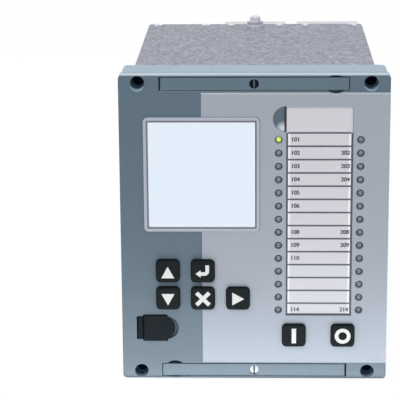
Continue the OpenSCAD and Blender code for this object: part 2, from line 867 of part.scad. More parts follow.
module mounting_frame() {
    color(light_blue)
        difference() {
            slab(y_frame, 0)
                difference() {
                    round_rect(frame_w, frame_h, corner_r);
                    square([open_w, open_h], center = true);
                }
            slab(-frame_rebate, bite)
                round_rect(case_w + 2 * fit_gap, case_h + 2 * fit_gap, bend_r);
            at_corners(fix_x, fix_z) {
                rod_y(head_seat_d, y_frame - bite, -fix_flange);
                rod_y(fix_hole_d, -fix_flange - bite, bite);
            }
            at_handles()
                translate([0, 0, handle_z])
                    rod_y(insert_d + 2 * screw_gap, y_frame - bite, y_frame + insert_l);
            at_rivets()
                cylinder(d = rivet_d + 2 * screw_gap, h = case_sheet + rivet_grip + screw_gap);
            for (sx = [0, 1])
                for (sz = [0, 1])
                    mirror([sx, 0, 0])
                        mirror([0, 0, sz])
                            slab(y_frame - bite, -frame_rebate - core_wall)
                                rect(insert_block / 2, open_h / 2 + core_wall,
                                    fix_x - corner_block / 2, frame_h / 2 - core_wall);
        }
}

module frame_rivets() {
    color(zinc)
        at_rivets() {
            translate([0, 0, -rivet_head_h])
                cylinder(d = 2 * rivet_d, h = rivet_head_h);
            cylinder(d = rivet_d, h = case_sheet + rivet_grip);
        }
}

module latch_inserts() {
    color([0.78, 0.65, 0.35])
        at_handles()
            translate([0, 0, handle_z])
                difference() {
                    rod_y(insert_d, y_frame, y_frame + insert_l);
                    rod_y(room_d, y_frame - bite, y_frame + insert_l + bite);
                }
}

// Two grooved runners along one wall of the case
module rails() {
    for (sx = [-1, 1])
        slab(rail_front, rail_rear)
            difference() {
                rect(sx * side_x - rail_w / 2, -inner_h / 2,
                    sx * side_x + rail_w / 2, rail_h - inner_h / 2);
                rect(sx * side_x - chassis_sheet / 2 - rail_gap, rail_floor - inner_h / 2,
                    sx * side_x + chassis_sheet / 2 + rail_gap, rail_h - inner_h / 2 + bite);
            }
}

module lower_rails() {
    color(near_black)
        rails();
}

module upper_rails() {
    color(near_black)
        mirror([0, 0, 1])
            rails();
}

module at_terminals(x) {
    for (row = [0:term_rows - 1])
        for (sx = [-1, 1])
            translate([x + sx * pocket_x, y_block - term_pocket, (row - (term_rows - 1) / 2) * term_pitch])
                children();
}

module at_rear_screws() {
    for (x = positions)
        for (sz = [-1, 1])
            translate([x, 0, sz * ear_z])
                children();
}

module terminal_block(x) {
    color(pale_grey)
        difference() {
            union() {
                slab(y_rear_out, y_block)
                    rect(x - block_w / 2, -block_h / 2, x + block_w / 2, block_h / 2);
                slab(y_plug, y_rear_out + bite)
                    rect(x - plug_w / 2, -plug_h / 2, x + plug_w / 2, plug_h / 2);
            }
            at_terminals(x) {
                translate([-pocket_w / 2, 0, -(term_pitch - term_rib) / 2])
                    cube([pocket_w, term_pocket + bite, term_pitch - term_rib]);
                rod_y(term_screw_d + 2 * screw_gap, -term_screw_l - blind, bite);
            }
            slab(y_plug - bite, y_plug + blade_l)
                rect(x - blade_w / 2 - blade_gap, -blade_h / 2 - blade_gap,
                    x + blade_w / 2 + blade_gap, blade_h / 2 + blade_gap);
            for (sz = [-1, 1])
                translate([x, 0, sz * ear_z]) {
                    rod_y(screw_d + 2 * screw_gap, y_rear_out - bite, y_block + bite);
                    rod_y(screw_head_d + 4 * screw_gap, y_rear_out + ear_h, y_block + bite);
                }
        }
}

module terminal_block_centre() {
    terminal_block(fitted[0]);
}

module terminal_block_right() {
    terminal_block(fitted[1]);
}

// Slotted terminal screws, each with its square clamping plate
module terminal_screws() {
    color(zinc)
        for (x = fitted)
            at_terminals(x)
                difference() {
                    union() {
                        translate([-clamp_w / 2, 0, -clamp_w / 2])
                            cube([clamp_w, clamp_h, clamp_w]);
                        rod_y(term_head_d, clamp_h - bite, clamp_h + term_head_h);
                        rod_y(term_screw_d, -term_screw_l, bite);
                    }
                    translate([-term_head_d / 2 - bite, clamp_h + term_head_h / 2, -slot_w / 2])
                        cube([term_head_d + 2 * bite, term_head_h, slot_w]);
                }
}

module blanking_plate() {
    color(galvanised)
        difference() {
            slab(y_rear_out, y_rear_out + blank_sheet)
                rect(positions[0] - block_w / 2, -block_h / 2, positions[0] + block_w / 2, block_h / 2);
            at_rear_screws()
                rod_y(screw_d + 2 * screw_gap, y_rear_out - bite, y_rear_out + blank_sheet + bite);
        }
}

module rear_screws() {
    color(zinc)
        for (i = [0:2])
            for (sz = [-1, 1])
                translate([positions[i], y_rear_out + (i == 0 ? blank_sheet : ear_h), sz * ear_z])
                    small_screw(screw_l);
}

module earth_screw() {
    color(zinc)
        translate([0, earth_y, case_h / 2 + earth_washer_h])
            difference() {
                union() {
                    intersection() {
                        cylinder(d = earth_head_d, h = earth_head_h);
                        translate([0, 0, earth_head_h - earth_head_d])
                            sphere(r = earth_head_d);
                    }
                    translate([0, 0, -earth_l])
                        cylinder(d = earth_d, h = earth_l + bite);
                }
                translate([-earth_head_d / 2 - bite, -slot_w / 2, 2 * earth_head_h / 3])
                    cube([earth_head_d + 2 * bite, slot_w, earth_head_h]);
            }
}

module earth_washer() {
    color(zinc)
        translate([0, earth_y, case_h / 2])
            difference() {
                cylinder(d = earth_washer_d, h = earth_washer_h);
                translate([0, 0, -bite])
                    cylinder(d = earth_d + 2 * screw_gap, h = earth_washer_h + 2 * bite);
            }
}

module earth_nut() {
    color(zinc)
        translate([0, earth_y, inner_h / 2 - earth_nut_h])
            difference() {
                cylinder(d = earth_nut_w / cos(30), h = earth_nut_h, $fn = 6);
                translate([0, 0, -bite])
                    cylinder(d = earth_d + 2 * screw_gap, h = earth_nut_h + 2 * bite);
            }
}

// Fascia and what it carries

// The overlay's outline round the display and the thumb notch, wider by a gap on every side
module overlay_outline(gap) {
    difference() {
        rect(overlay_left - gap, overlay_bottom - gap, face_w / 2 + 2 * gap, overlay_top + gap);
        translate([lcd_x, lcd_z])
            round_rect(bezel_w + 2 * (fit_gap - gap), bezel_h + 2 * (fit_gap - gap), bezel_r);
        intersection() {
            translate([notch_x, notch_z])
                circle(notch_r - gap);
            rect(overlay_left, overlay_bottom, notch_x, overlay_top);
        }
    }
}

// Recess beside one handle that lets a finger get hold of the bar
module finger_notch() {
    in_r = (finger_w * finger_w / 4 + finger_in * finger_in) / (2 * finger_in);
    out_r = (finger_w * finger_w / 4 + finger_out * finger_out) / (2 * finger_out);
    slab(y_face - bite, y_face + finger_depth) {
        intersection() {
            translate([finger_x, channel_low - finger_in + in_r])
                circle(in_r);
            rect(finger_x - finger_reach, channel_low - finger_w, finger_x + finger_reach, handle_z);
        }
        intersection() {
            translate([finger_x, channel_high + finger_out - out_r])
                circle(out_r);
            rect(finger_x - finger_reach, handle_z, finger_x + finger_reach, channel_high + finger_w);
        }
    }
}

module handle_channel() {
    slab(y_face - bite, y_face + channel_depth)
        rect(-handle_l / 2 - handle_gap, channel_low, handle_l / 2 + handle_gap, channel_high);
    finger_notch();
    translate([0, 0, handle_z])
        rod_y(room_d, y_face, y_back + bite);
    translate([pivot_x, pivot_y, cavity_z - bite])
        cylinder(d = handle_pin_d + pin_gap, h = channel_high + pin_blind + pin_gap - cavity_z + bite);
}

module at_keys() {
    for (p = key_places)
        translate([p[0], 0, p[1]])
            children();
}

module key_hole() {
    slab(y_overlay - bite, y_wall + bite)
        round_rect(key_w + 2 * key_gap, key_w + 2 * key_gap, key_r + key_gap);
}

function lamp_z(row) = led_z + ((led_rows - 1) / 2 - row) * led_pitch;

module at_lamps(side, first) {
    for (row = [first:led_rows - 1])
        translate([label_x + side * led_x, 0, lamp_z(row)])
            children();
}

module at_all_lamps() {
    for (side = [-1, 1])
        at_lamps(side, 0)
            children();
}

module thumb_notch() {
    translate([notch_x, y_face + notch_depth - notch_sphere, notch_z])
        sphere(r = notch_sphere, $fn = 96);
}

// Recesses for the flap, its barrel and its tab, and the hole for the socket
module port_recess() {
    translate([0, 0, flap_z]) {
        slab(y_face - bite, y_port)
            rect(flap_x - barrel_d / 2 - flap_gap, -barrel_l / 2 - flap_gap,
                flap_x + barrel_d / 2 + flap_gap, barrel_l / 2 + flap_gap);
        slab(y_face - bite, y_mouth)
            rect(flap_left - 2 * flap_gap, -flap_h / 2 - flap_gap,
                flap_right + flap_gap, flap_h / 2 + flap_gap);
        slab(y_face - bite, y_face + scoop_depth)
            half_ellipse(flap_right, 0, flap_tab_l + scoop_margin, flap_tab_h + scoop_margin);
        slab(y_face, y_pad + bite)
            rect(flap_mid - socket_w / 2 - fit_gap, -socket_h / 2 - fit_gap,
                flap_mid + socket_w / 2 + fit_gap, socket_h / 2 + fit_gap);
        translate([flap_x, y_flap, -pin_z - pin_gap])
            cylinder(d = flap_pin_d + pin_gap, h = 2 * (pin_z + pin_gap));
    }
}

module port_pad() {
    slab(y_wall - bite, y_pad)
        rect(flap_x - barrel_d / 2 - flap_gap - port_margin, flap_z - flap_h / 2 - flap_gap - port_margin,
            flap_right + port_margin, flap_z + flap_h / 2 + flap_gap + port_margin);
}

module fascia() {
    color(blue_grey)
        difference() {
            union() {
                difference() {
                    chamfered_plate(face_w, face_h, corner_r, edge_chamfer, y_face, y_back);
                    slab(y_wall, y_back + bite)
                        rect(-face_w / 2 + fascia_rim, -cavity_z, face_w / 2 - fascia_rim, cavity_z);
                }
                at_corners(boss_x, boss_z)
                    rod_y(boss_d, y_wall - bite, y_hmi);
                port_pad();
            }
            slab(y_face - bite, y_recess)
                overlay_outline(fit_gap / 2);
            slab(y_face - bite, y_wall + bite)
                translate([lcd_x, lcd_z])
                    square([lcd_open_w, lcd_open_h], center = true);
            at_handles()
                handle_channel();
            at_corners(fix_x, fix_z)
                rod_y(access_d, y_face - bite, y_back + bite);
            at_corners(boss_x, boss_z)
                rod_y(screw_d + 2 * screw_gap, y_wall + blind, y_hmi + bite);
            at_keys()
                key_hole();
            at_all_lamps()
                rod_y(led_d + 2 * led_gap, y_face, y_wall + bite);
            thumb_notch();
            port_recess();
        }
}

module front_overlay() {
    color(silver_grey)
        difference() {
            slab(y_overlay, y_recess)
                overlay_outline(0);
            slab(y_overlay - bite, y_recess + bite)
                translate([label_x, label_z])
                    square([label_w, label_h], center = true);
            at_keys()
                key_hole();
            at_all_lamps()
                rod_y(led_hole_d, y_overlay - bite, y_recess + bite);
            at_handles()
                finger_notch();
        }
}

module lcd_bezel() {
    color(silver_grey)
        translate([lcd_x, 0, lcd_z])
            difference() {
                union() {
                    chamfered_plate(bezel_w, bezel_h, bezel_r, bezel_chamfer, y_bezel, y_face);
                    slab(y_bezel + bezel_chamfer, y_wall)
                        square([collar_w, collar_h], center = true);
                }
                slab(y_bezel - bite, y_wall + bite)
                    square([lcd_w, lcd_h], center = true);
            }
}

module lcd_window() {
    color([0.88, 0.92, 0.96])
        translate([lcd_x, 0, lcd_z])
            slab(y_face + window_sunk, y_wall)
                square([lcd_w - 2 * fit_gap, lcd_h - 2 * fit_gap], center = true);
}

module lcd_panel() {
    color([0.75, 0.80, 0.84])
        translate([lcd_x, 0, lcd_z])
            slab(y_wall, y_module)
                square([module_w, module_hh], center = true);
}

module lcd_spacers() {
    color(zinc)
        translate([lcd_x, 0, lcd_z])
            at_corners(module_w / 2 - module_post, module_hh / 2 - module_post)
                rod_y(2 * module_post - bite, y_module, y_hmi);
}

module label_card() {
    color([0.90, 0.91, 0.92])
        translate([label_x, 0, label_z])
            slab(y_recess - card_h, y_recess)
                square([label_w - 2 * fit_gap, label_h - 2 * fit_gap], center = true);
}

// A round lamp with a domed tip, standing on the front board
module lamp() {
    steps = 5;
    straight = y_hmi - led_rest - led_dome;
    translate([0, y_hmi, 0])
        rotate([90, 0, 0])
            rotate_extrude()
                polygon(concat(
                    [[0, 0], [led_d / 2, 0]],
                    [for (i = [0:steps])
                        let (a = 90 * i / steps)
                            [led_d / 2 * cos(a), straight + led_dome * sin(a)]]
                ));
}

module led_healthy() {
    color([0.65, 0.95, 0.35])
        translate([label_x - led_x, 0, lamp_z(0)])
            lamp();
}

module leds_left() {
    color([0.62, 0.65, 0.68])
        at_lamps(-1, 1)
            lamp();
}

module leds_right() {
    color([0.62, 0.65, 0.68])
        at_lamps(1, 0)
            lamp();
}

module hmi_board() {
    color(board_green)
        difference() {
            slab(y_hmi, y_link)
                square([hmi_w, hmi_h], center = true);
            at_corners(boss_x, boss_z)
                rod_y(screw_d + 2 * screw_gap, y_hmi - bite, y_link + bite);
        }
}

module key_switches() {
    color(near_black)
        at_keys() {
            translate([-switch_w / 2, y_hmi - switch_h, -switch_w / 2])
                cube([switch_w, switch_h, switch_w]);
            rod_y(button_d, y_hmi - switch_h - button_h, y_hmi - switch_h / 2);
        }
}

module board_spacers() {
    color(zinc)
        at_corners(boss_x, boss_z)
            difference() {
                rod_y(spacer_d, y_link, y_chassis);
                rod_y(screw_d + 2 * screw_gap, y_link - bite, y_chassis + bite);
            }
}

module fascia_screws() {
    color(zinc)
        at_corners(boss_x, boss_z)
            translate([0, y_plate, 0])
                small_screw(y_plate - y_wall - 2 * blind);
}

module service_port_socket() {
    color(zinc)
        translate([flap_mid, 0, flap_z]) {
            difference() {
                slab(y_mouth, y_hmi)
                    square([socket_w, socket_h], center = true);
                slab(y_mouth - bite, y_mouth + mouth_depth)
                    square([mouth_w, mouth_h], center = true);
            }
            slab(y_mouth + bite, y_mouth + mouth_depth + bite)
                square([tongue_w, tongue_h], center = true);
        }
}

module port_hinge_pin() {
    color(zinc)
        translate([flap_x, y_flap, flap_z - pin_z])
            cylinder(d = flap_pin_d, h = 2 * pin_z);
}

module handle_pins() {
    color(zinc)
        at_handles()
            translate([pivot_x, pivot_y, cavity_z])
                cylinder(d = handle_pin_d, h = channel_high + pin_blind - cavity_z);
}

// Chassis and the boards in it

module link_hole() {
    for (x = positions)
        slab(y_chassis - bite, y_plate + bite)
            rect(x - link_w / 2 - fit_gap, -link_h / 2 - fit_gap,
                x + link_w / 2 + fit_gap, link_h / 2 + fit_gap);
}

module at_guide_screws() {
    for (y = [guide_front, guide_rear])
        for (sx = [0, 1])
            for (sz = [-1, 1])
                mirror([sx, 0, 0])
                    translate([side_out, y + guide_d / 2, sz * guide_screw_z])
                        rotate([0, 0, -90])
                            children();
}

module chassis_front_plate() {
    color(galvanised)
        difference() {
            slab(y_chassis, y_plate)
                rect(-side_out, -chassis_front_h / 2, side_out, chassis_front_h / 2);
            link_hole();
            at_corners(boss_x, boss_z)
                rod_y(screw_d + 2 * screw_gap, y_chassis - bite, y_plate + bite);
        }
}

// The right side with its openings and the tab that takes the rear plate
module side_plate() {
    color(galvanised)
        difference() {
            union() {
                bar_x(side_in, side_out)
                    difference() {
                        rect(y_plate, -side_h / 2, chassis_rear, side_h / 2);
                        for (i = [0:vent_count - 1])
                            translate([vent_front + i * (vent_l + vent_bar), -vent_h / 2])
                                square([vent_l, vent_h]);
                    }
                slab(chassis_rear - chassis_sheet, chassis_rear)
                    rect(side_in - chassis_tab, -guide_z, side_in + bite, guide_z);
            }
            at_corners(tab_screw_x, tab_screw_z)
                rod_y(screw_d + 2 * screw_gap, chassis_rear - chassis_sheet - bite, chassis_rear + bite);
            at_guide_screws()
                rod_y(screw_d + 2 * screw_gap, -chassis_sheet - bite, bite);
        }
}

module chassis_left_side() {
    mirror([1, 0, 0])
        side_plate();
}

module chassis_right_side() {
    side_plate();
}

module chassis_rear_plate() {
    color(galvanised)
        difference() {
            slab(chassis_rear, chassis_rear + chassis_sheet)
                rect(-side_in, -guide_z, side_in, guide_z);
            for (x = fitted)
                slab(chassis_rear - bite, chassis_rear + chassis_sheet + bite)
                    rect(x - conn_w / 2 - fit_gap, -conn_h / 2 - fit_gap,
                        x + conn_w / 2 + fit_gap, conn_h / 2 + fit_gap);
            at_corners(tab_screw_x, tab_screw_z)
                rod_y(screw_d + 2 * screw_gap, chassis_rear - bite, chassis_rear + chassis_sheet + bite);
        }
}

// Outline of the slot that takes a board's edge
module board_slot(x, reach) {
    rect(x - board_t / 2 - fit_gap, -reach, x + board_t / 2 + fit_gap, reach);
}

module card_guides() {
    color(near_black)
        difference() {
            for (y = [guide_front, guide_rear])
                for (sz = [0, 1])
                    mirror([0, 0, sz])
                        bar_x(-side_in, side_in)
                            rect(y, guide_z, y + guide_d, guide_z + guide_h);
            for (x = positions)
                slab(guide_front - bite, guide_rear + guide_d + bite)
                    board_slot(x, board_h / 2 + fit_gap);
            at_guide_screws()
                rod_y(screw_d + 2 * screw_gap, -screw_l - blind, bite);
        }
}

module chassis_screws() {
    color(zinc) {
        at_guide_screws()
            small_screw(screw_l);
        at_corners(tab_screw_x, tab_screw_z)
            translate([0, chassis_rear + chassis_sheet, 0])
                small_screw(screw_l);
    }
}

module inner_board(x) {
    color(board_green)
        slab(y_board, y_board + board_l)
            rect(x - board_t / 2, -board_h / 2, x + board_t / 2, board_h / 2);
}

module analogue_board() {
    inner_board(positions[2]);
}

module io_board() {
    inner_board(positions[1]);
}

module power_board() {
    inner_board(positions[0]);
}

module board_connectors() {
    color(near_black)
        for (x = positions)
            difference() {
                slab(y_link, y_board + link_grip)
                    rect(x - link_w / 2, -link_h / 2, x + link_w / 2, link_h / 2);
                slab(y_board - fit_gap, y_board + link_grip + bite)
                    board_slot(x, link_h / 2 + bite);
            }
}

// A wound transformer on the left face of a board: core and winding
module wound_block(core_l, core_w, coil_l, coil_w, h) {
    translate([-h, -core_l / 2, -core_w / 2])
        cube([h, core_l, core_w]);
    translate([-h - coil_bulge, -coil_l / 2, -coil_w / 2])
        cube([h + coil_bulge, coil_l, coil_w]);
}

module current_transformers() {
    color(winding)
        for (i = [0:ct_count - 1])
            translate([positions[2] - board_t / 2, ct_y, (i - (ct_count - 1) / 2) * ct_pitch])
                wound_block(ct_core_l, ct_core_w, ct_coil_l, ct_coil_w, ct_h);
}

module output_relays() {
    color(near_black)
        for (sy = [-1, 1])
            for (i = [0:relay_rows - 1])
                translate([positions[1] + board_t / 2, relay_y + sy * relay_pitch_y / 2 - relay_l / 2,
                        (i - (relay_rows - 1) / 2) * relay_pitch_z - relay_w / 2])
                    cube([relay_h, relay_l, relay_w]);
}

module power_transformer() {
    color(winding)
        translate([positions[0] + board_t / 2, power_y, power_z])
            mirror([1, 0, 0])
                wound_block(power_l, power_w, power_coil_l, power_coil_w, power_h);
}

module smoothing_capacitors() {
    color(near_black)
        for (i = [0:cap_count - 1])
            translate([positions[0] + board_t / 2, cap_y + (i - (cap_count - 1) / 2) * cap_pitch, cap_z])
                rotate([0, 90, 0])
                    cylinder(d = cap_d, h = cap_h);
}

module rear_connector(x) {
    color(near_black)
        difference() {
            union() {
                slab(conn_front, conn_rear)
                    rect(x - conn_w / 2, -conn_h / 2, x + conn_w / 2, conn_h / 2);
                slab(conn_rear - bite, y_plug + blade_l - blade_gap)
                    rect(x - blade_w / 2, -blade_h / 2, x + blade_w / 2, blade_h / 2);
            }
            slab(conn_front - bite, y_board + board_l + fit_gap)
                board_slot(x, conn_h / 2 + bite);
        }
}

module rear_connector_centre() {
    rear_connector(fitted[0]);
}

module rear_connector_right() {
    rear_connector(fitted[1]);
}

// Moving pieces

// The top handle: a flat bar with a round end at its hinge
module handle() {
    color(blue_grey)
        difference() {
            bar_z(handle_z - handle_h / 2, handle_z + handle_h / 2) {
                intersection() {
                    translate([pivot_x, pivot_y])
                        circle(handle_heel);
                    rect(pivot_x - handle_l, y_face, pivot_x + bite, y_face + handle_t);
                }
                rect(pivot_x, y_face, handle_l / 2, y_face + handle_t);
            }
            translate([pivot_x, pivot_y, handle_z - handle_h / 2 - bite])
                cylinder(d = handle_pin_d + 2 * pin_gap, h = handle_h + 2 * bite);
            translate([0, 0, handle_z]) {
                rod_y(latch_shank_d + 2 * latch_gap, y_face - bite, y_face + handle_t + bite);
                rod_y(latch_head_d + 2 * latch_gap, y_face - bite, latch_seat);
            }
        }
}

module top_handle() {
    handle();
}

module bottom_handle() {
    rotate([0, 180, 0])
        handle();
}

// The slotted captive screw of the top handle
module handle_screw() {
    color(zinc)
        translate([0, 0, handle_z])
            difference() {
                union() {
                    rod_y(latch_head_d, latch_seat - latch_head_h, latch_seat);
                    rod_y(latch_shank_d, latch_seat - bite, latch_tip);
                }
                translate([-slot_w / 2, latch_seat - 1.5 * latch_head_h, -latch_head_d / 2 - bite])
                    cube([slot_w, latch_head_h, latch_head_d + 2 * bite]);
            }
}

module top_handle_screw() {
    handle_screw();
}

module bottom_handle_screw() {
    rotate([0, 180, 0])
        handle_screw();
}

// A key with its flange and the stem that presses its switch
module key(i) {
    color(near_black)
        translate([key_places[i][0], 0, key_places[i][1]]) {
            chamfered_plate(key_w, key_w, key_r, key_chamfer, y_overlay - key_proud, y_wall + bite);
            slab(y_wall, y_wall + key_flange_h)
                square([key_flange_w, key_flange_w], center = true);
            rod_y(key_stem_d, y_wall, key_stem_end);
        }
}

module key_up() {
    key(0);
}

module key_down() {
    key(1);
}

module key_enter() {
    key(2);
}

module key_cancel() {
    key(3);
}

module key_right() {
    key(4);
}

module key_close() {
    key(5);
}

module key_open() {
    key(6);
}

module service_port_cover() {
    color(near_black)
        translate([0, 0, flap_z])
            difference() {
                union() {
                    bar_z(-barrel_l / 2, barrel_l / 2)
                        translate([flap_x, y_flap])
                            circle(d = barrel_d);
                    slab(flap_back - flap_neck_t, flap_back)
                        rect(flap_x, -barrel_l / 2, flap_right, barrel_l / 2);
                    slab(flap_front, flap_back)
                        rect(flap_left, -flap_h / 2, flap_right, flap_h / 2);
                    slab(flap_front, flap_front + flap_tab_t)
                        half_ellipse(flap_right - bite, 0, flap_tab_l + bite, flap_tab_h);
                }
                translate([flap_x, y_flap, -barrel_l / 2 - bite])
                    cylinder(d = flap_pin_d + 2 * pin_gap, h = barrel_l + 2 * bite);
            }
}

case_shell();
rear_panel();
mounting_frame();
frame_rivets();
latch_inserts();
upper_rails();
lower_rails();
terminal_block_centre();
terminal_block_right();
terminal_screws();
blanking_plate();
rear_screws();
earth_screw();
earth_washer();
earth_nut();
fascia();
front_overlay();
lcd_bezel();
lcd_window();
lcd_panel();
lcd_spacers();
label_card();
led_healthy();
leds_left();
leds_right();
hmi_board();
key_switches();
board_spacers();
fascia_screws();
service_port_socket();
port_hinge_pin();
handle_pins();
chassis_front_plate();
chassis_left_side();
chassis_right_side();
chassis_rear_plate();
card_guides();
chassis_screws();
analogue_board();
io_board();
power_board();
board_connectors();
current_transformers();
output_relays();
power_transformer();
smoothing_capacitors();
rear_connector_centre();
rear_connector_right();
top_handle();
bottom_handle();
top_handle_screw();
bottom_handle_screw();
key_up();
key_down();
key_enter();
key_cancel();
key_right();
key_close();
key_open();
service_port_cover();
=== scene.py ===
"""Looks of a panel-mounted protection relay: finishes, printed marks, camera and light.

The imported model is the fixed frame, in metres: X to the right, Y to the rear and Z up.
Small sizes are written in millimetres and multiplied by MM.
"""
import json
import math

import bmesh
import bpy
from mathutils import Matrix, Vector


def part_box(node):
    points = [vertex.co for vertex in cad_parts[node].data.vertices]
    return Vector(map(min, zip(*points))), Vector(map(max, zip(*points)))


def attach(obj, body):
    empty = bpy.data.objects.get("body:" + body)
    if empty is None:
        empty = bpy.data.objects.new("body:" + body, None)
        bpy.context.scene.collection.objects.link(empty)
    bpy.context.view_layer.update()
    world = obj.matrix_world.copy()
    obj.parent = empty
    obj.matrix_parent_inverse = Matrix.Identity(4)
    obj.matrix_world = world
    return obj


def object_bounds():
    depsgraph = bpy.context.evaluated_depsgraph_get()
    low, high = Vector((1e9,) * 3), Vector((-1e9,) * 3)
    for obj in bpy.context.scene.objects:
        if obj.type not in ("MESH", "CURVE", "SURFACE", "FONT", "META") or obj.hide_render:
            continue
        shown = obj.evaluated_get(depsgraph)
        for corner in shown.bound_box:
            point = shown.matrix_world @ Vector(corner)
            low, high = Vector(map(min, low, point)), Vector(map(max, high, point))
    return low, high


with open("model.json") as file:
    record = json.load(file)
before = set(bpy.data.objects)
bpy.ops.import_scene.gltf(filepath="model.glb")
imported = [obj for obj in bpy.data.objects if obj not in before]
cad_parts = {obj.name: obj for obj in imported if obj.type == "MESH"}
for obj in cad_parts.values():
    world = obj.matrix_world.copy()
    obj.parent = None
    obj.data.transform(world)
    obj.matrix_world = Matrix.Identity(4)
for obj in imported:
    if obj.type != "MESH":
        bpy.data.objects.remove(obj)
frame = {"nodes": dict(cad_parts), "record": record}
nodes = frame["nodes"]
cad_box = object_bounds()
scene = bpy.context.scene
MM = 0.001


def linear(value):
    """One screen channel, 0 to 255, as linear light."""
    share = value / 255
    if share <= 0.04045:
        return share / 12.92
    return ((share + 0.055) / 1.055) ** 2.4


def screen(red, green, blue):
    """A colour as it looks on a screen, as the colour that a shader takes."""
    return (linear(red), linear(green), linear(blue), 1.0)


def middle_of(node):
    """The middle of a node's box in X and Z."""
    low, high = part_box(node)
    return ((low.x + high.x) / 2, (low.z + high.z) / 2)


# Finishes

FASCIA_BLUE = screen(92, 113, 128)
HANDLE_BLUE = screen(97, 119, 134)
FRAME_BLUE = screen(164, 187, 204)
CREVICE_SHADE_BLUE = screen(72, 122, 154)
SLIT_SHADOW_BLUE = screen(4, 20, 32)
HOLE_RIM_HIGHLIGHT_BLUE = screen(150, 172, 189)
TOP_EDGE_HIGHLIGHT_PALE = screen(210, 229, 243)
RIM_HIGHLIGHT_BLUE = screen(158, 180, 196)
DISH_HIGHLIGHT_PALE = screen(236, 244, 250)
KEY_BLACK = screen(18, 25, 28)
PART_BLACK = screen(13, 23, 29)
TERMINAL_GREY = screen(236, 236, 244)
MARGIN_WHITE = screen(248, 248, 253)
GLASS_HIGHLIGHT_WHITE = screen(250, 252, 255)
EDGE_SAMPLES = 6


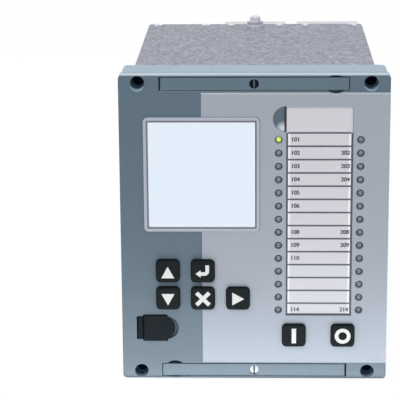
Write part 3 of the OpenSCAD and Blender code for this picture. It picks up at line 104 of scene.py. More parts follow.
class Finish:
    """A procedural material on object coordinates, which are the frame's metres."""

    def __init__(self, name, roughness, metallic=0.0, specular=0.5):
        self.material = bpy.data.materials.new(name)
        self.material.use_nodes = True
        self.tree = self.material.node_tree
        self.shader = self.tree.nodes["Principled BSDF"]
        self.shader.inputs["Roughness"].default_value = roughness
        self.shader.inputs["Metallic"].default_value = metallic
        self.shader.inputs["Specular IOR Level"].default_value = specular
        self.place = self.add("TexCoord").outputs["Object"]

    def add(self, kind):
        return self.tree.nodes.new("ShaderNode" + kind)

    def link(self, source, target):
        self.tree.links.new(source, target)

    def feed(self, value, target):
        """Sets an input to a plain value, or links it to a socket."""
        if isinstance(value, bpy.types.NodeSocket):
            self.link(value, target)
        else:
            target.default_value = value

    def parts(self, vector):
        """The X, Y and Z of a vector."""
        node = self.add("SeparateXYZ")
        self.link(vector, node.inputs[0])
        return node.outputs

    def vector(self, operation, first, second=(0.0, 0.0, 0.0)):
        node = self.add("VectorMath")
        node.operation = operation
        self.link(first, node.inputs[0])
        node.inputs[1].default_value = second
        return node.outputs

    def stretched(self, across, along, up):
        """Coordinates scaled by a factor on each axis, for brushed or wound patterns."""
        mapping = self.add("Mapping")
        mapping.inputs["Scale"].default_value = (across, along, up)
        self.link(self.place, mapping.inputs["Vector"])
        return mapping.outputs["Vector"]

    def noise(self, size_mm, detail=3.0, place=None):
        """Cloudy noise whose patches are about size_mm wide."""
        node = self.add("TexNoise")
        node.inputs["Scale"].default_value = 1 / (size_mm * MM)
        node.inputs["Detail"].default_value = detail
        self.link(place or self.place, node.inputs["Vector"])
        return node.outputs["Fac"]

    def cells(self, size_mm, output="Color"):
        """Crystal-like cells about size_mm wide."""
        node = self.add("TexVoronoi")
        node.inputs["Scale"].default_value = 1 / (size_mm * MM)
        self.link(self.place, node.inputs["Vector"])
        return node.outputs[output]

    def turns(self, pitch_mm, axis):
        """Bands like the turns of a winding, one for each pitch_mm."""
        node = self.add("TexWave")
        node.bands_direction = axis
        node.inputs["Scale"].default_value = 1 / (pitch_mm * MM) * math.pi / 10
        node.inputs["Distortion"].default_value = 0.4
        self.link(self.place, node.inputs["Vector"])
        return node.outputs["Fac"]

    def ramp(self, factor, *stops):
        """Colours along a factor: each stop is a position and a colour."""
        node = self.add("ValToRGB")
        while len(node.color_ramp.elements) < len(stops):
            node.color_ramp.elements.new(0.5)
        for element, (position, colour) in zip(node.color_ramp.elements, stops):
            element.position = position
            element.color = colour
        self.link(factor, node.inputs["Fac"])
        return node.outputs["Color"]

    def span(self, value, start, end, low=0.0, high=1.0):
        """A number that runs from low to high while a value runs from start to end."""
        node = self.add("MapRange")
        limits = {"From Min": start, "From Max": end, "To Min": low, "To Max": high}
        for name, limit in limits.items():
            self.feed(limit, node.inputs[name])
        self.link(value, node.inputs["Value"])
        return node.outputs["Result"]

    def between(self, factor, low, high):
        """A number that runs from low to high as the factor runs from 0 to 1."""
        return self.span(factor, 0.0, 1.0, low, high)

    def times(self, first, second):
        node = self.add("Math")
        node.operation = "MULTIPLY"
        self.link(first, node.inputs[0])
        self.link(second, node.inputs[1])
        return node.outputs[0]

    def mixed(self, factor, first, second, blend="MIX"):
        """Two colours blended by a factor; each of the three is a plain value or a socket."""
        node = self.add("MixRGB")
        node.blend_type = blend
        for name, value in (("Fac", factor), ("Color1", first), ("Color2", second)):
            self.feed(value, node.inputs[name])
        return node.outputs["Color"]

    def coloured(self, shade):
        """Makes a shade the base colour, in place of an earlier one."""
        self.link(shade, self.shader.inputs["Base Color"])
        return shade

    def tinted(self, colour, factor, spread):
        """Base colour that wavers by the given share about one colour."""
        darker = tuple(c * (1 - spread) for c in colour[:3]) + (1.0,)
        lighter = tuple(min(1.0, c * (1 + spread)) for c in colour[:3]) + (1.0,)
        return self.coloured(self.ramp(factor, (0.3, darker), (0.7, lighter)))

    def rough(self, factor, low, high):
        self.link(self.between(factor, low, high), self.shader.inputs["Roughness"])

    def shaded(self, colour, reach_mm, depth):
        """A base colour with painted shade: dark and dull in gaps and holes narrower than reach_mm.
        """
        near = self.add("AmbientOcclusion")
        near.samples = EDGE_SAMPLES
        near.only_local = True
        near.inputs["Distance"].default_value = reach_mm * MM
        openness = near.outputs["AO"]
        gloss = self.span(openness, 0.6, 0.95, 0.0, 0.5)
        self.link(gloss, self.shader.inputs["Specular IOR Level"])
        lit = self.between(openness, 1.0 - depth, 1.0)
        return self.coloured(self.mixed(lit, CREVICE_SHADE_BLUE, colour))

    def bevelled(self, edge_mm):
        """The direction of the surface, with its edges rounded by edge_mm."""
        node = self.add("Bevel")
        node.samples = EDGE_SAMPLES
        node.inputs["Radius"].default_value = edge_mm * MM
        return node.outputs["Normal"]

    def painted_rim_highlights(self, colour, edge_mm, pale, share):
        """Painted highlight: a colour that turns to a pale one on rounded edges and small faces
        that look upward.
        """
        upward = self.parts(self.bevelled(edge_mm))["Z"]
        return self.mixed(self.span(upward, 0.25, 0.95, 0.0, share), colour, pale)

    def from_axis(self, x, z):
        """Distance, in millimetres, from a line along Y through the given place."""
        offset = self.vector("SUBTRACT", self.place, (x, 0.0, z))["Vector"]
        flat = self.vector("MULTIPLY", offset, (1 / MM, 0.0, 1 / MM))["Vector"]
        return self.vector("LENGTH", flat)["Value"]

    def relief(self, height, depth_mm, edge_mm=0.0):
        """Fine relief of the surface, on edges that are softened by edge_mm."""
        bump = self.add("Bump")
        bump.inputs["Distance"].default_value = depth_mm * MM
        bump.inputs["Strength"].default_value = 1.0
        self.link(height, bump.inputs["Height"])
        if edge_mm:
            self.link(self.bevelled(edge_mm), bump.inputs["Normal"])
        self.link(bump.outputs["Normal"], self.shader.inputs["Normal"])

    def glow(self, colour, strength):
        self.shader.inputs["Emission Color"].default_value = colour
        self.shader.inputs["Emission Strength"].default_value = strength


def moulded(name, colour, roughness=0.45, grain_mm=0.5, edge_mm=0.25, spread=0.04, crevice_shade=0.0,
            specular=0.5):
    """Moulded plastic with a fine spark-eroded grain, and painted shade in gaps and holes when a
    depth for it is given.
    """
    finish = Finish(name, roughness, specular=specular)
    grain = finish.noise(grain_mm, 2.0)
    shade = finish.tinted(colour, finish.noise(18, 4.0), spread)
    if crevice_shade:
        finish.shaded(shade, 16.0, crevice_shade)
    finish.rough(grain, roughness - 0.06, roughness + 0.06)
    finish.relief(grain, 0.02, edge_mm)
    return finish


# The fascia's thumb dish beside the label card, with a painted highlight and a painted shadow line,
# and the pale painted highlight along the fascia's top edge
DISH_DROP_MM = 6.7
DISH_R_MM = 7.6
DISH_SOFT_MM = 0.6
HIGHLIGHT_LEFT_MM = 2.0
HIGHLIGHT_DROP_MM = 5.2
HIGHLIGHT_R_MM = (0.4, 4.2)
SLIT_SHADOW_MM = (1.7, 0.8)
HIGHLIGHT_STRIP_MM = (4.6, 5.4)


def fascia_plastic():
    """Blue-grey moulding: a painted highlight on its top edge, a dish with a painted highlight that
    ends at a painted shadow line, and painted shade in holes and gaps.
    """
    finish = Finish("fascia_plastic", 0.45)
    grain = finish.noise(0.5, 2.0)
    shade = finish.tinted(FASCIA_BLUE, finish.noise(18, 4.0), 0.04)
    place = finish.parts(finish.place)

    low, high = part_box("label_card")
    dish_z = high.z - DISH_DROP_MM * MM
    dish_end = DISH_R_MM + DISH_SOFT_MM
    dish = finish.span(finish.from_axis(low.x, dish_z), DISH_R_MM, dish_end, 1.0, 0.0)
    # Painted highlight: a pale spot at the dish's lower right.
    highlight_from = finish.from_axis(low.x - HIGHLIGHT_LEFT_MM * MM, dish_z - HIGHLIGHT_DROP_MM * MM)
    highlight = finish.span(highlight_from, *HIGHLIGHT_R_MM, 1.0, 0.0)
    shade = finish.mixed(finish.times(dish, highlight), shade, DISH_HIGHLIGHT_PALE)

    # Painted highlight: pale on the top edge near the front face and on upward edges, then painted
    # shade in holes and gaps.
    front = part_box("fascia")[0].y
    behind = finish.span(place["Y"], *(front + reach * MM for reach in HIGHLIGHT_STRIP_MM))
    rim_highlights = finish.ramp(behind, (0.0, TOP_EDGE_HIGHLIGHT_PALE), (1.0, RIM_HIGHLIGHT_BLUE))
    shade = finish.shaded(finish.painted_rim_highlights(shade, 0.45, rim_highlights, 0.9), 9.0, 0.92)

    # Painted shadow: a dark line at the dish's edge beside the label card.
    slit_shadow = finish.span(place["X"], *(low.x - reach * MM for reach in SLIT_SHADOW_MM))
    finish.coloured(finish.mixed(finish.times(dish, slit_shadow), shade, SLIT_SHADOW_BLUE))
    gloss = finish.span(dish, 0.0, 1.0, finish.between(grain, 0.39, 0.51), 0.2)
    finish.link(gloss, finish.shader.inputs["Roughness"])
    finish.relief(grain, 0.012, 0.25)
    return finish


def silver_film(name, colour):
    """Satin silver film over the front, with a very fine metal fleck."""
    finish = Finish(name, 0.42, metallic=0.08, specular=0.28)
    fleck = finish.noise(0.35, 1.0)
    brushed = finish.noise(1.2, 3.0, finish.stretched(0.04, 1, 1))
    finish.tinted(colour, fleck, 0.05)
    finish.rough(brushed, 0.36, 0.48)
    finish.relief(fleck, 0.006, 0.2)
    return finish


def galvanised():
    """Hot-dip zinc on sheet: small crystal spangle, each grain with its own tone and gloss."""
    finish = Finish("galvanised_sheet", 0.45, metallic=0.55)
    spangle = finish.cells(1.7)
    cloud = finish.noise(1.3, 3.0)
    grey = finish.add("RGBToBW")
    finish.link(finish.mixed(0.5, spangle, cloud), grey.inputs["Color"])
    value = grey.outputs["Val"]
    shade = finish.ramp(
        value,
        (0.3, screen(117, 119, 133)), (0.5, screen(142, 144, 158)), (0.7, screen(170, 172, 187)),
    )
    patches = finish.between(finish.noise(5, 3.0), 0.66, 1.34)
    finish.coloured(finish.mixed(1.0, shade, patches, "MULTIPLY"))
    finish.rough(value, 0.42, 0.54)
    finish.relief(cloud, 0.03, 0.3)
    return finish


def bright_metal(name, colour, roughness=0.28, metallic=1.0, specular=0.5):
    """Plated or turned metal with fine lines."""
    finish = Finish(name, roughness, metallic, specular)
    lines = finish.noise(0.4, 3.0, finish.stretched(1, 1, 6))
    finish.tinted(colour, finish.noise(3, 3.0), 0.08)
    finish.rough(lines, roughness - 0.08, roughness + 0.1)
    finish.relief(lines, 0.01, 0.12)
    return finish


def display_glass():
    """Clear window with a faint smear."""
    finish = Finish("display_glass", 0.03)
    finish.shader.inputs["Transmission Weight"].default_value = 1.0
    finish.shader.inputs["IOR"].default_value = 1.45
    finish.shader.inputs["Base Color"].default_value = (0.96, 0.98, 1.0, 1.0)
    smear = finish.noise(30, 2.0)
    finish.rough(smear, 0.02, 0.05)
    return finish


def display_module():
    """The blank backlit display: a pale blue field of very fine dots."""
    finish = Finish("display_module", 0.4)
    dots = finish.cells(0.5, "Distance")
    finish.tinted(screen(200, 203, 212), dots, 0.03)
    finish.glow(screen(232, 238, 240), 0.5)
    return finish


def label_paper():
    """Printed card under a thin clear laminate."""
    finish = Finish("label_paper", 0.5)
    fibre = finish.noise(0.6, 4.0)
    finish.tinted(screen(229, 228, 236), fibre, 0.02)
    finish.relief(fibre, 0.004)
    finish.shader.inputs["Coat Weight"].default_value = 0.15
    finish.shader.inputs["Coat Roughness"].default_value = 0.3
    return finish


def clear_lamp():
    """The clear epoxy body of an unlit lamp, mottled by what lies in it."""
    finish = Finish("lamp_clear", 0.18)
    die = finish.noise(1.2, 2.0)
    finish.tinted(screen(132, 138, 146), die, 0.18)
    finish.rough(die, 0.12, 0.24)
    finish.shader.inputs["Coat Weight"].default_value = 0.4
    return finish


def lit_lamp():
    """A lit lamp: a bright yellow-green middle that falls off to a darker green rim."""
    finish = Finish("lamp_lit", 0.2)
    reach = finish.from_axis(*middle_of("led_healthy"))
    shade = finish.ramp(
        finish.between(reach, 0.0, 0.5),
        (0.0, screen(232, 250, 140)), (0.45, screen(190, 228, 84)), (0.85, screen(84, 104, 48)),
    )
    finish.coloured(shade)
    finish.link(shade, finish.shader.inputs["Emission Color"])
    finish.shader.inputs["Emission Strength"].default_value = 0.4
    finish.shader.inputs["Coat Weight"].default_value = 0.4
    finish.relief(finish.noise(0.8, 2.0), 0.01)
    return finish


def board_laminate():
    """Green solder resist with the faint relief of tracks below it."""
    finish = Finish("board_laminate", 0.35)
    tracks = finish.add("TexBrick")
    tracks.inputs["Scale"].default_value = 1 / (6 * MM)
    tracks.inputs["Color1"].default_value = screen(24, 92, 58)
    tracks.inputs["Color2"].default_value = screen(20, 78, 50)
    tracks.inputs["Mortar"].default_value = screen(46, 126, 82)
    tracks.inputs["Mortar Size"].default_value = 0.03
    upright = finish.add("Mapping")
    upright.inputs["Rotation"].default_value = (0.0, math.radians(90), 0.0)
    finish.link(finish.place, upright.inputs["Vector"])
    finish.link(upright.outputs["Vector"], tracks.inputs["Vector"])
    finish.coloured(tracks.outputs["Color"])
    finish.relief(tracks.outputs["Fac"], 0.03)
    return finish


def copper_winding():
    """Varnished copper turns."""
    finish = Finish("copper_winding", 0.3, metallic=0.4)
    turns = finish.turns(0.8, "Z")
    finish.coloured(finish.ramp(turns, (0.0, screen(96, 48, 20)), (1.0, screen(176, 104, 56))))
    finish.relief(turns, 0.2)
    return finish


def capacitor_sleeve():
    """Dark shrink sleeve, a little uneven."""
    finish = Finish("capacitor_sleeve", 0.28)
    finish.tinted(screen(32, 38, 58), finish.noise(8, 3.0), 0.1)
    finish.relief(finish.noise(2, 3.0), 0.04)
    return finish


def ink(name, colour, spread=0.03, roughness=0.5):
    """A flat print or thin trim."""
    return moulded(name, colour, roughness, edge_mm=0.0, spread=spread)


finishes = {
    "fascia_plastic": fascia_plastic(),
    # The frame gets painted shade in its fixing holes and gaps.
    "frame_plastic": moulded("frame_plastic", FRAME_BLUE, edge_mm=0.4, crevice_shade=0.97),
    "overlay_silver": silver_film("silver_film", screen(176, 183, 194)),
    "galvanised_sheet": galvanised(),
    "zinc_steel": bright_metal("zinc_steel", screen(205, 207, 210)),
    "insert_brass": bright_metal("insert_brass", screen(205, 172, 96)),
    "black_plastic": moulded(
        "black_plastic", PART_BLACK, 0.5, edge_mm=0.2, spread=0.08, specular=0.08),
    "terminal_plastic": moulded("terminal_plastic", TERMINAL_GREY, 0.5),
    "display_glass": display_glass(),
    "display_module": display_module(),
    "label_paper": label_paper(),
    "lamp_lit": lit_lamp(),
    "lamp_clear": clear_lamp(),
    "board_laminate": board_laminate(),
    "copper_winding": copper_winding(),
    "capacitor_sleeve": capacitor_sleeve(),
    "key_rubber": moulded(
        "key_rubber", KEY_BLACK, 0.5, grain_mm=0.35, edge_mm=0.3, spread=0.06, specular=0.08),
}
white_ink = ink("white_ink", screen(244, 244, 240), 0.015)
dark_ink = ink("dark_ink", screen(70, 71, 80))
line_and_shadow_ink = ink("line_and_shadow_ink", screen(88, 88, 100))
bezel_shadow_ink = ink("bezel_shadow_ink", screen(118, 122, 134))
# Painted highlight: pale crescents under the upper fixing holes.
hole_rim_highlight_ink = ink("hole_rim_highlight", HOLE_RIM_HIGHLIGHT_BLUE, 0.04)
# Pale print for the label margins; its glow is painted light.
pale_ink_and_painted_glow = ink("pale_ink_and_painted_glow", MARGIN_WHITE, 0.01)
pale_ink_and_painted_glow.glow(MARGIN_WHITE, 0.12)
# Painted highlight: a white, glowing line along the edge of the display glass.
glass_edge_highlight = ink("glass_edge_highlight", GLASS_HIGHLIGHT_WHITE, 0.01, roughness=0.3)
glass_edge_highlight.glow(GLASS_HIGHLIGHT_WHITE, 0.3)
# The handles get painted shade in the gaps round them.
handle_plastic = moulded("handle_plastic", HANDLE_BLUE, crevice_shade=0.92)
bezel_silver = silver_film("bezel_silver", screen(190, 197, 210))
# Painted highlight: a pale line along the front film's top edge.
film_edge_highlight = silver_film("film_edge_highlight", screen(192, 205, 215))
# Painted shade: the upper handle screw is the same metal as the lower one, darkened near black.
screw_shade_black = bright_metal("screw_shade_black", screen(12, 24, 34), 0.4, metallic=0.0, specular=0.06)
# Painted highlight: a pale slot floor for the black upper screw.
slot_highlight = bright_metal("slot_highlight", screen(152, 166, 178), 0.4, metallic=0.2)
# Painted highlight: near-white for the rear tab ends.
tab_end_highlight = bright_metal("tab_end_highlight", screen(244, 245, 250), 0.4, metallic=0.1)
bright_zinc = bright_metal("bright_zinc", screen(226, 229, 233), 0.25, metallic=0.4)
dull_zinc = bright_metal("dull_zinc", screen(150, 152, 150), 0.42)


def wear(piece, finish):
    """Gives a piece one material in place of those it came with."""
    piece.data.materials.clear()
    piece.data.materials.append(finish.material)


for subpart in frame["record"]["subparts"]:
    wear(nodes[subpart["node"]], finishes[subpart["material_slot"]])
own_finishes = {
    "top_handle": handle_plastic,
    "bottom_handle": handle_plastic,
    "top_handle_screw": screw_shade_black,
    "bottom_handle_screw": dull_zinc,
    "lcd_bezel": bezel_silver,
    "earth_screw": bright_zinc,
    "earth_washer": bright_zinc,
}
for node, own_finish in own_finishes.items():
    wear(nodes[node], own_finish)


def dressed(name, data, finish):
    """A new piece of the scene, made of a mesh and one finish."""
    piece = bpy.data.objects.new(name, data)
    scene.collection.objects.link(piece)
    wear(piece, finish)
    return piece


# Printed marks: flat shapes in X and Z, a little proud of the surface that carries them

INK_MM = 0.06
RIM_GAP_MM = 0.05


def arc(centre, radius, start, end, steps):
    """Points along a circle in the X and Z plane, angles in degrees."""
    angles = (math.radians(start + (end - start) * i / steps) for i in range(steps + 1))
    return [(centre[0] + radius * math.cos(a), centre[1] + radius * math.sin(a)) for a in angles]


def bar(x0, z0, x1, z1):
    return [(x0, z0), (x1, z0), (x1, z1), (x0, z1)]


def turned(points, degrees):
    c, s = math.cos(math.radians(degrees)), math.sin(math.radians(degrees))
    return [(x * c - z * s, x * s + z * c) for x, z in points]


def printed(name, outlines, surface_y, body, finish, middle=(0.0, 0.0)):
    """A print made of flat outlines in millimetres about a middle given in metres."""
    mesh = bmesh.new()
    for outline in outlines:
        lower = [
            mesh.verts.new((middle[0] + x * MM, surface_y, middle[1] + z * MM)) for x, z in outline
        ]
        face = mesh.faces.new(lower)
        face.normal_update()
        if face.normal.y > 0:
            face.normal_flip()
        raised = bmesh.ops.extrude_face_region(mesh, geom=[face])
        tops = [item for item in raised["geom"] if isinstance(item, bmesh.types.BMVert)]
        bmesh.ops.translate(mesh, verts=tops, vec=(0.0, -INK_MM * MM, 0.0))
    bmesh.ops.recalc_face_normals(mesh, faces=mesh.faces)
    data = bpy.data.meshes.new(name)
    mesh.to_mesh(data)
    mesh.free()
    piece = dressed(name, data, finish)
    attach(piece, body)


def ring(outer, inner, steps=40):
    """A ring as two half-ring outlines."""
    halves = []
    for start in (0, 180):
        outside = arc((0, 0), outer, start, start + 180, steps)
        inside = arc((0, 0), inner, start + 180, start, steps)
        halves.append(outside + inside)
    return halves


def enter_arrow():
    """A bar down the right, a bend, a bar to the left and an arrow head."""
    right, top, low, stroke = 3.6, 3.8, -1.3, 2.1
    bend_r, shaft_end, tip, half_head = 2.6, -1.2, -4.1, 2.2
    bend_at = (right - bend_r, low + bend_r - stroke / 2)
    outer_bend = arc(bend_at, bend_r, 0, -90, 10)
    inner_bend = arc(bend_at, bend_r - stroke, -90, 0, 6)
    head = [(shaft_end, low - half_head), (tip, low), (shaft_end, low + half_head)]
    upper = [(shaft_end, low + stroke / 2)]
    lower = [(shaft_end, low - stroke / 2)]
    bend = [(right - stroke, top), (right, top)] + outer_bend + lower
    return [bend + upper + inner_bend, head]


def cross(reach, half):
    """Two crossed strokes, the second one cut in two by the first."""
    whole = bar(-reach, -half, reach, half)
    ends = [bar(-reach, -half, -half, half), bar(half, -half, reach, half)]
    return [turned(whole, 45)] + [turned(end, -45) for end in ends]


symbols = {
    "key_up": [[(-3.7, -3.9), (3.7, -3.9), (0.0, 2.9)]],
    "key_down": [[(-3.7, 2.9), (0.0, -3.9), (3.7, 2.9)]],
    "key_right": [[(-3.2, -3.8), (3.6, 0.0), (-3.2, 3.8)]],
    "key_enter": enter_arrow(),
    "key_cancel": cross(5.1, 1.15),
    "key_close": [bar(-1.25, -4.4, 1.25, 4.4)],
    "key_open": ring(4.5, 2.4),
}
for key, outlines in symbols.items():
    key_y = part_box(key)[0].y
    printed(key + "_symbol", outlines, key_y, key, white_ink, middle_of(key))


# Display surround: a painted shadow line at the bezel's inner edge and a painted highlight on the
# edge of the glass

BORDER_MM = 2.7
SHADOW_LINE_MM = 1.0
GLASS_EDGE_MM = 0.5


def rim(x0, z0, x1, z1, width):
    """Four bars that lie just inside a rectangle."""
    left, right = x0 + width, x1 - width
    return [bar(x0, z0, left, z1), bar(right, z0, x1, z1),
            bar(left, z0, right, z0 + width), bar(left, z1 - width, right, z1)]


bezel_low, bezel_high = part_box("lcd_bezel")
middle = middle_of("lcd_bezel")
half_w = (bezel_high.x - bezel_low.x) / MM / 2 - BORDER_MM
half_h = (bezel_high.z - bezel_low.z) / MM / 2 - BORDER_MM
shadow_w, shadow_h = half_w + SHADOW_LINE_MM, half_h + SHADOW_LINE_MM
# Painted shadow: a dark line round the inside of the bezel.
bezel_shadow = rim(-shadow_w, -shadow_h, shadow_w, shadow_h, SHADOW_LINE_MM)
printed("bezel_shadow_line", bezel_shadow, bezel_low.y, "relay_unit", bezel_shadow_ink, middle)
glass_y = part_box("lcd_window")[0].y
glass_highlight_rim = rim(-half_w, -half_h, half_w, half_h, GLASS_EDGE_MM)
printed("display_edge_highlight", glass_highlight_rim, glass_y, "relay_unit", glass_edge_highlight, middle)


# Upper fixing holes: a painted highlight, the pale crescent on each hole's lower rim

HOLE_SIDE_MM = 10.7
HOLE_EDGE_MM = 4.5
HOLE_R_MM = 3.9
CRESCENT_MM = 0.95


def crescent(x, z):
    """What a circle moved straight down shows below the hole's own circle."""
    outer = arc((x, z - CRESCENT_MM), HOLE_R_MM, 190, 350, 24)
    inner = arc((x, z), HOLE_R_MM + RIM_GAP_MM, 330, 210, 24)
    return outer + inner


face_low, face_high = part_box("fascia")
middle = middle_of("fascia")
hole_x = (face_high.x - face_low.x) / MM / 2 - HOLE_SIDE_MM
hole_z = (face_high.z - face_low.z) / MM / 2 - HOLE_EDGE_MM
highlight_crescents = [crescent(x, hole_z) for x in (-hole_x, hole_x)]
printed("fixing_hole_rim_highlights", highlight_crescents, face_low.y, "relay_unit", hole_rim_highlight_ink, middle)


# Front film: a pale painted highlight along its top edge, which dips round the upper handle's
# finger notch

FILM_HIGHLIGHT_MM = 1.1
NOTCH_HIGHLIGHT_MM = 0.75
NOTCH_END_MM = 7.05
NOTCH_R_MM = 7.13
NOTCH_DROP_MM = 2.05
NOTCH_HALF_MM = 3.3

film_low, film_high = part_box("front_overlay")
handle_low, handle_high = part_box("top_handle")
left, right, top = film_low.x / MM, film_high.x / MM, film_high.z / MM
notch_x = handle_high.x / MM - NOTCH_END_MM
notch = (notch_x, handle_low.z / MM - NOTCH_DROP_MM + NOTCH_R_MM)
dip_top = arc(notch, NOTCH_R_MM + RIM_GAP_MM, 243, 297, 12)
dip_bottom = arc(notch, NOTCH_R_MM + NOTCH_HIGHLIGHT_MM, 297, 243, 12)
film_highlight = [
    bar(left, top - FILM_HIGHLIGHT_MM, notch_x - NOTCH_HALF_MM, top),
    dip_top + dip_bottom,
    bar(notch_x + NOTCH_HALF_MM, top - FILM_HIGHLIGHT_MM, right, top),
]
printed("film_top_edge_highlight", film_highlight, film_low.y, "relay_unit", film_edge_highlight)


# Screw slots: a painted highlight on the slot floor of the black screw, a dark slot floor in the
# bright one

SLOT_DEPTH_MM = 1.1
HALF_SLOT_MM = 0.42
SLOT_END_MM = 0.15
for screw, finish in (("top_handle_screw", slot_highlight), ("bottom_handle_screw", dark_ink)):
    low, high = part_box(screw)
    half = (high.z - low.z) / MM / 2 - SLOT_END_MM
    slot_floor = [bar(-HALF_SLOT_MM, -half, HALF_SLOT_MM, half)]
    floor_y = low.y + SLOT_DEPTH_MM * MM
    printed(screw + "_slot", slot_floor, floor_y, screw, finish, middle_of(screw))


# Label strip: field lines, painted shadow along its left, right and lower edges, pale margins with
# a painted glow, and plain numbers

ROW_PITCH_MM = 7.62
ROWS = 14
LINE_MM = 0.95
LEFT_SHADOW_MM = 0.85
RIGHT_AND_FOOT_SHADOW_MM = 1.0
MARGIN_MM = 1.2
card_low, card_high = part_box("label_card")
card_w = (card_high.x - card_low.x) / MM
lamp_low, lamp_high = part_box("leds_right")
first_line = ((lamp_low.z + lamp_high.z) / 2 - card_low.z) / MM + ROWS / 2 * ROW_PITCH_MM
lines_at = [first_line - row * ROW_PITCH_MM for row in range(ROWS)]
corner = (card_low.x, card_low.z)

# Painted shadow: dark bands along the card's left, right and lower edges; the rules below are
# printed field lines.
edges = [bar(0, 0, LEFT_SHADOW_MM, first_line), bar(card_w - RIGHT_AND_FOOT_SHADOW_MM, 0, card_w, first_line),
         bar(LEFT_SHADOW_MM, 0, card_w - RIGHT_AND_FOOT_SHADOW_MM, RIGHT_AND_FOOT_SHADOW_MM)]
rules = [bar(LEFT_SHADOW_MM, z - LINE_MM / 2, card_w - RIGHT_AND_FOOT_SHADOW_MM, z + LINE_MM / 2) for z in lines_at]
printed("label_lines_and_shadows", edges + rules, card_low.y, "relay_unit", line_and_shadow_ink, corner)

margins = []
bottoms = lines_at[1:] + [RIGHT_AND_FOOT_SHADOW_MM - LINE_MM / 2]
for top, bottom in zip(lines_at, bottoms):
    z0, z1 = bottom + LINE_MM / 2, top - LINE_MM / 2
    margins.append(bar(LEFT_SHADOW_MM, z0, LEFT_SHADOW_MM + MARGIN_MM, z1))
    margins.append(bar(card_w - RIGHT_AND_FOOT_SHADOW_MM - MARGIN_MM, z0, card_w - RIGHT_AND_FOOT_SHADOW_MM, z1))
printed("label_margins", margins, card_low.y, "relay_unit", pale_ink_and_painted_glow, corner)

NUMBER_MM = 3.3
NUMBER_SWELL_MM = 0.05
HALF_NUMBER_MM = 0.01
NUMBER_LEFT_MM = 0.4
NUMBER_RIGHT_MM = 0.5
BOLD_MM = 0.1
BOLD_RISE_MM = 0.005
LEFT_ROWS = (1, 2, 3, 4, 5, 6, 8, 9, 10, 14)
RIGHT_ROWS = (2, 3, 4, 8, 9, 14)


def number_mesh(text, x_mm, z_mm, align, rise_mm):
    """One plain number as a flat mesh that stands in X and Z, a little above the card."""
    curve = bpy.data.curves.new("number", "FONT")
    curve.body = text
    curve.size = NUMBER_MM * MM
    curve.offset = NUMBER_SWELL_MM * MM
    curve.extrude = HALF_NUMBER_MM * MM
    curve.align_x = align
    curve.align_y = "CENTER"
    holder = bpy.data.objects.new("number", curve)
    mesh = bpy.data.meshes.new_from_object(holder)
    bpy.data.objects.remove(holder)
    bpy.data.curves.remove(curve)
    place = Vector((corner[0] + x_mm * MM, card_low.y - rise_mm * MM, corner[1] + z_mm * MM))
    mesh.transform(Matrix.Translation(place) @ Matrix.Rotation(math.radians(90), 4, "X"))
    return mesh


def label_numbers():
    """Row numbers, from 101 down the left side and from 201 down the right."""
    joined = bmesh.new()
    columns = (
        (LEFT_ROWS, 100, LEFT_SHADOW_MM + MARGIN_MM + NUMBER_LEFT_MM, "LEFT"),
        (RIGHT_ROWS, 200, card_w - RIGHT_AND_FOOT_SHADOW_MM - NUMBER_RIGHT_MM, "RIGHT"),
    )
    for rows, base, x_mm, align in columns:
        for row in rows:
            z_mm = first_line - (row - 0.5) * ROW_PITCH_MM
            for shift, rise in ((-BOLD_MM, INK_MM), (BOLD_MM, INK_MM + BOLD_RISE_MM)):
                mesh = number_mesh(str(base + row), x_mm + shift, z_mm, align, rise)
                joined.from_mesh(mesh)
                bpy.data.meshes.remove(mesh)
    data = bpy.data.meshes.new("label_numbers")
    joined.to_mesh(data)
    joined.free()
    piece = dressed("label_numbers", data, dark_ink)
    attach(piece, "relay_unit")


label_numbers()


# Rear panel: the ends of its tabs, bent forward over the shell's top and bottom, with their
# near-white a painted highlight

TABS_MM = (16.0, 33.3, 66.0)
TAB_END_W_MM = 2.4
TAB_T_MM = 0.8
TAB_FRONT_MM = 9.0
TAB_REAR_MM = 1.5
BOX_FACES = [(0, 3, 2, 1), (4, 5, 6, 7), (0, 1, 5, 4), (1, 2, 6, 5), (2, 3, 7, 6), (3, 0, 4, 7)]


def tab_ends():
    shell_low, shell_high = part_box("case_shell")
    points, faces = [], []
    y0, y1 = shell_high.y - TAB_FRONT_MM * MM, shell_high.y - TAB_REAR_MM * MM
    top = (shell_high.z, shell_high.z + TAB_T_MM * MM)
    bottom = (shell_low.z - TAB_T_MM * MM, shell_low.z)
    for z0, z1 in (top, bottom):
        for middle in [side * x for x in TABS_MM for side in (-1, 1)]:
            x0, x1 = (middle - TAB_END_W_MM / 2) * MM, (middle + TAB_END_W_MM / 2) * MM
            faces += [tuple(len(points) + i for i in face) for face in BOX_FACES]
            points += [(x, y, z) for z in (z0, z1) for x, y in bar(x0, y0, x1, y1)]
    data = bpy.data.meshes.new("rear_tab_ends")
    data.from_pydata(points, [], faces)
    piece = dressed("rear_tab_ends", data, tab_end_highlight)
    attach(piece, "case")


tab_ends()


# Earth screw: the hexagon at the foot of its head

COLLAR_OUT_MM = 5.3
COLLAR_IN_MM = 4.1
COLLAR_MM = 2.2


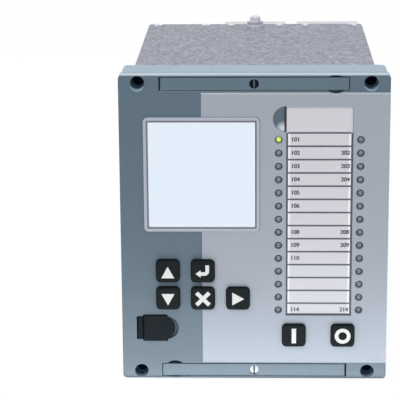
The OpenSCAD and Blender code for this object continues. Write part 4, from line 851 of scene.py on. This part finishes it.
def earth_collar():
    low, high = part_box("earth_washer")
    z0, z1 = high.z, high.z + COLLAR_MM * MM
    loops = [(COLLAR_OUT_MM, z0), (COLLAR_OUT_MM, z1), (COLLAR_IN_MM, z1), (COLLAR_IN_MM, z0)]
    corners = arc((0.0, 0.0), 1.0, 0, 300, 5)
    centre = ((low.x + high.x) / 2, (low.y + high.y) / 2)
    points = [
        (centre[0] + x * radius * MM, centre[1] + y * radius * MM, z)
        for radius, z in loops for x, y in corners
    ]
    count = len(corners)
    faces = []
    for loop in range(len(loops)):
        after = (loop + 1) % len(loops)
        for i in range(count):
            j = (i + 1) % count
            faces.append((loop * count + i, loop * count + j, after * count + j, after * count + i))
    data = bpy.data.meshes.new("earth_collar")
    data.from_pydata(points, [], faces)
    piece = dressed("earth_collar", data, finishes["zinc_steel"])
    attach(piece, "case")


earth_collar()


# Stage: floor, lights and world

WHITE = (1.0, 1.0, 1.0, 1.0)
FLOOR_DROP_MM = 1.0
FLOOR_HALF = 6.0
FLOOR_GREY = (0.75, 0.75, 0.75, 1.0)
FLOOR_GLOW = 1.15
FLOOR_SHARE = 0.8


def seen_directly(tree):
    """1 for camera, glossy and transmission rays, 0 for the rays that light the object."""
    path = tree.nodes.new("ShaderNodeLightPath")
    total = path.outputs["Is Camera Ray"]
    for ray in ("Is Glossy Ray", "Is Transmission Ray"):
        most = tree.nodes.new("ShaderNodeMath")
        most.operation = "MAXIMUM"
        tree.links.new(total, most.inputs[0])
        tree.links.new(path.outputs[ray], most.inputs[1])
        total = most.outputs[0]
    return total


def pale_floor():
    """A pale sweep that is white to the camera and still takes the object's shadow."""
    data = bpy.data.meshes.new("floor")
    z = cad_box[0].z - FLOOR_DROP_MM * MM
    corners = [(-1, -1), (1, -1), (1, 1), (-1, 1)]
    data.from_pydata([(x * FLOOR_HALF, y * FLOOR_HALF, z) for x, y in corners], [], [(0, 1, 2, 3)])
    floor = bpy.data.objects.new("floor", data)
    scene.collection.objects.link(floor)
    material = bpy.data.materials.new("floor")
    material.use_nodes = True
    tree = material.node_tree
    shader = tree.nodes["Principled BSDF"]
    shader.inputs["Base Color"].default_value = FLOOR_GREY
    shader.inputs["Roughness"].default_value = 0.9
    shader.inputs["Specular IOR Level"].default_value = 0.0
    glow = tree.nodes.new("ShaderNodeEmission")
    glow.inputs["Color"].default_value = WHITE
    glow.inputs["Strength"].default_value = FLOOR_GLOW
    mix = tree.nodes.new("ShaderNodeMixShader")
    share = tree.nodes.new("ShaderNodeMath")
    share.operation = "MULTIPLY"
    share.inputs[1].default_value = FLOOR_SHARE
    tree.links.new(seen_directly(tree), share.inputs[0])
    tree.links.new(share.outputs[0], mix.inputs["Fac"])
    tree.links.new(shader.outputs["BSDF"], mix.inputs[1])
    tree.links.new(glow.outputs["Emission"], mix.inputs[2])
    tree.links.new(mix.outputs["Shader"], tree.nodes["Material Output"].inputs["Surface"])
    data.materials.append(material)


def white_world(light):
    """White where it is seen, and the given strength where it lights the object."""
    world = bpy.data.worlds.new("studio")
    scene.world = world
    world.use_nodes = True
    tree = world.node_tree
    background = tree.nodes["Background"]
    background.inputs["Color"].default_value = WHITE
    strength = tree.nodes.new("ShaderNodeMapRange")
    strength.inputs["To Min"].default_value = light
    strength.inputs["To Max"].default_value = 1.0
    tree.links.new(seen_directly(tree), strength.inputs["Value"])
    tree.links.new(strength.outputs["Result"], background.inputs["Strength"])


def softbox(name, place, target, size, power, matte=True, mirrored=True, tint=WHITE[:3]):
    """A rectangular soft light that points at a target: for matte surfaces, glossy ones or both."""
    data = bpy.data.lights.new(name, "AREA")
    data.shape = "RECTANGLE"
    data.size, data.size_y = size
    data.energy = power
    data.color = tint
    lamp = bpy.data.objects.new(name, data)
    lamp.location = place
    lamp.rotation_mode = "QUATERNION"
    lamp.rotation_quaternion = (Vector(target) - Vector(place)).to_track_quat("-Z", "Y")
    lamp.visible_camera = False
    lamp.visible_diffuse = matte
    lamp.visible_glossy = mirrored
    scene.collection.objects.link(lamp)


WORLD_LIGHT = 0.3
STRIP_DROP_MM = 0.8
FACE = (0.0, -0.03, 0.0)
COOL = (0.8, 0.91, 1.0)

pale_floor()
white_world(WORLD_LIGHT)
strip_z = cad_box[0].z - STRIP_DROP_MM * MM
softbox("key_light", (-0.9, -1.2, 1.3), FACE, (1.2, 1.0), 13.0)
softbox("fill_light", (1.1, -1.0, 0.7), FACE, (1.0, 1.0), 3.8)
softbox("top_light", (0.0, 0.25, 1.5), (0.0, 0.1, 0.08), (1.2, 1.2), 6.0)
softbox("low_light", (0.0, -0.1, strip_z), (0.0, -0.1, 1.0), (0.45, 0.12), 0.08, mirrored=False)
softbox("low_shine", (0.0, -0.066, strip_z), (0.0, -0.066, 1.0), (0.45, 0.06), 0.97,
        matte=False, tint=COOL)


# Camera

CAMERA_MM = (3.5, -1028.3, 281.5)
TILT, PAN, ROLL = 14.83, -1.94, -0.46
LENS = 165.88


def photo_camera():
    """The photograph's viewpoint: in front, a little above, panned to the left."""
    tilt, pan, roll = (math.radians(angle) for angle in (TILT, PAN, ROLL))
    ahead = Vector((math.sin(pan), math.cos(pan), 0.0))
    forward = ahead * math.cos(tilt) - Vector((0.0, 0.0, math.sin(tilt)))
    level = Vector((math.cos(pan), -math.sin(pan), 0.0))
    upright = level.cross(forward)
    right = level * math.cos(roll) + upright * math.sin(roll)
    up = upright * math.cos(roll) - level * math.sin(roll)
    turn = Matrix((right, up, -forward)).transposed()
    data = bpy.data.cameras.new("camera")
    data.sensor_width = 36.0
    data.lens = LENS
    data.clip_start = 0.05
    camera = bpy.data.objects.new("camera", data)
    camera.matrix_world = Matrix.Translation(Vector(CAMERA_MM) * MM) @ turn.to_4x4()
    scene.collection.objects.link(camera)
    scene.camera = camera


photo_camera()
scene.view_settings.view_transform = "Standard"

bpy.context.view_layer.update()
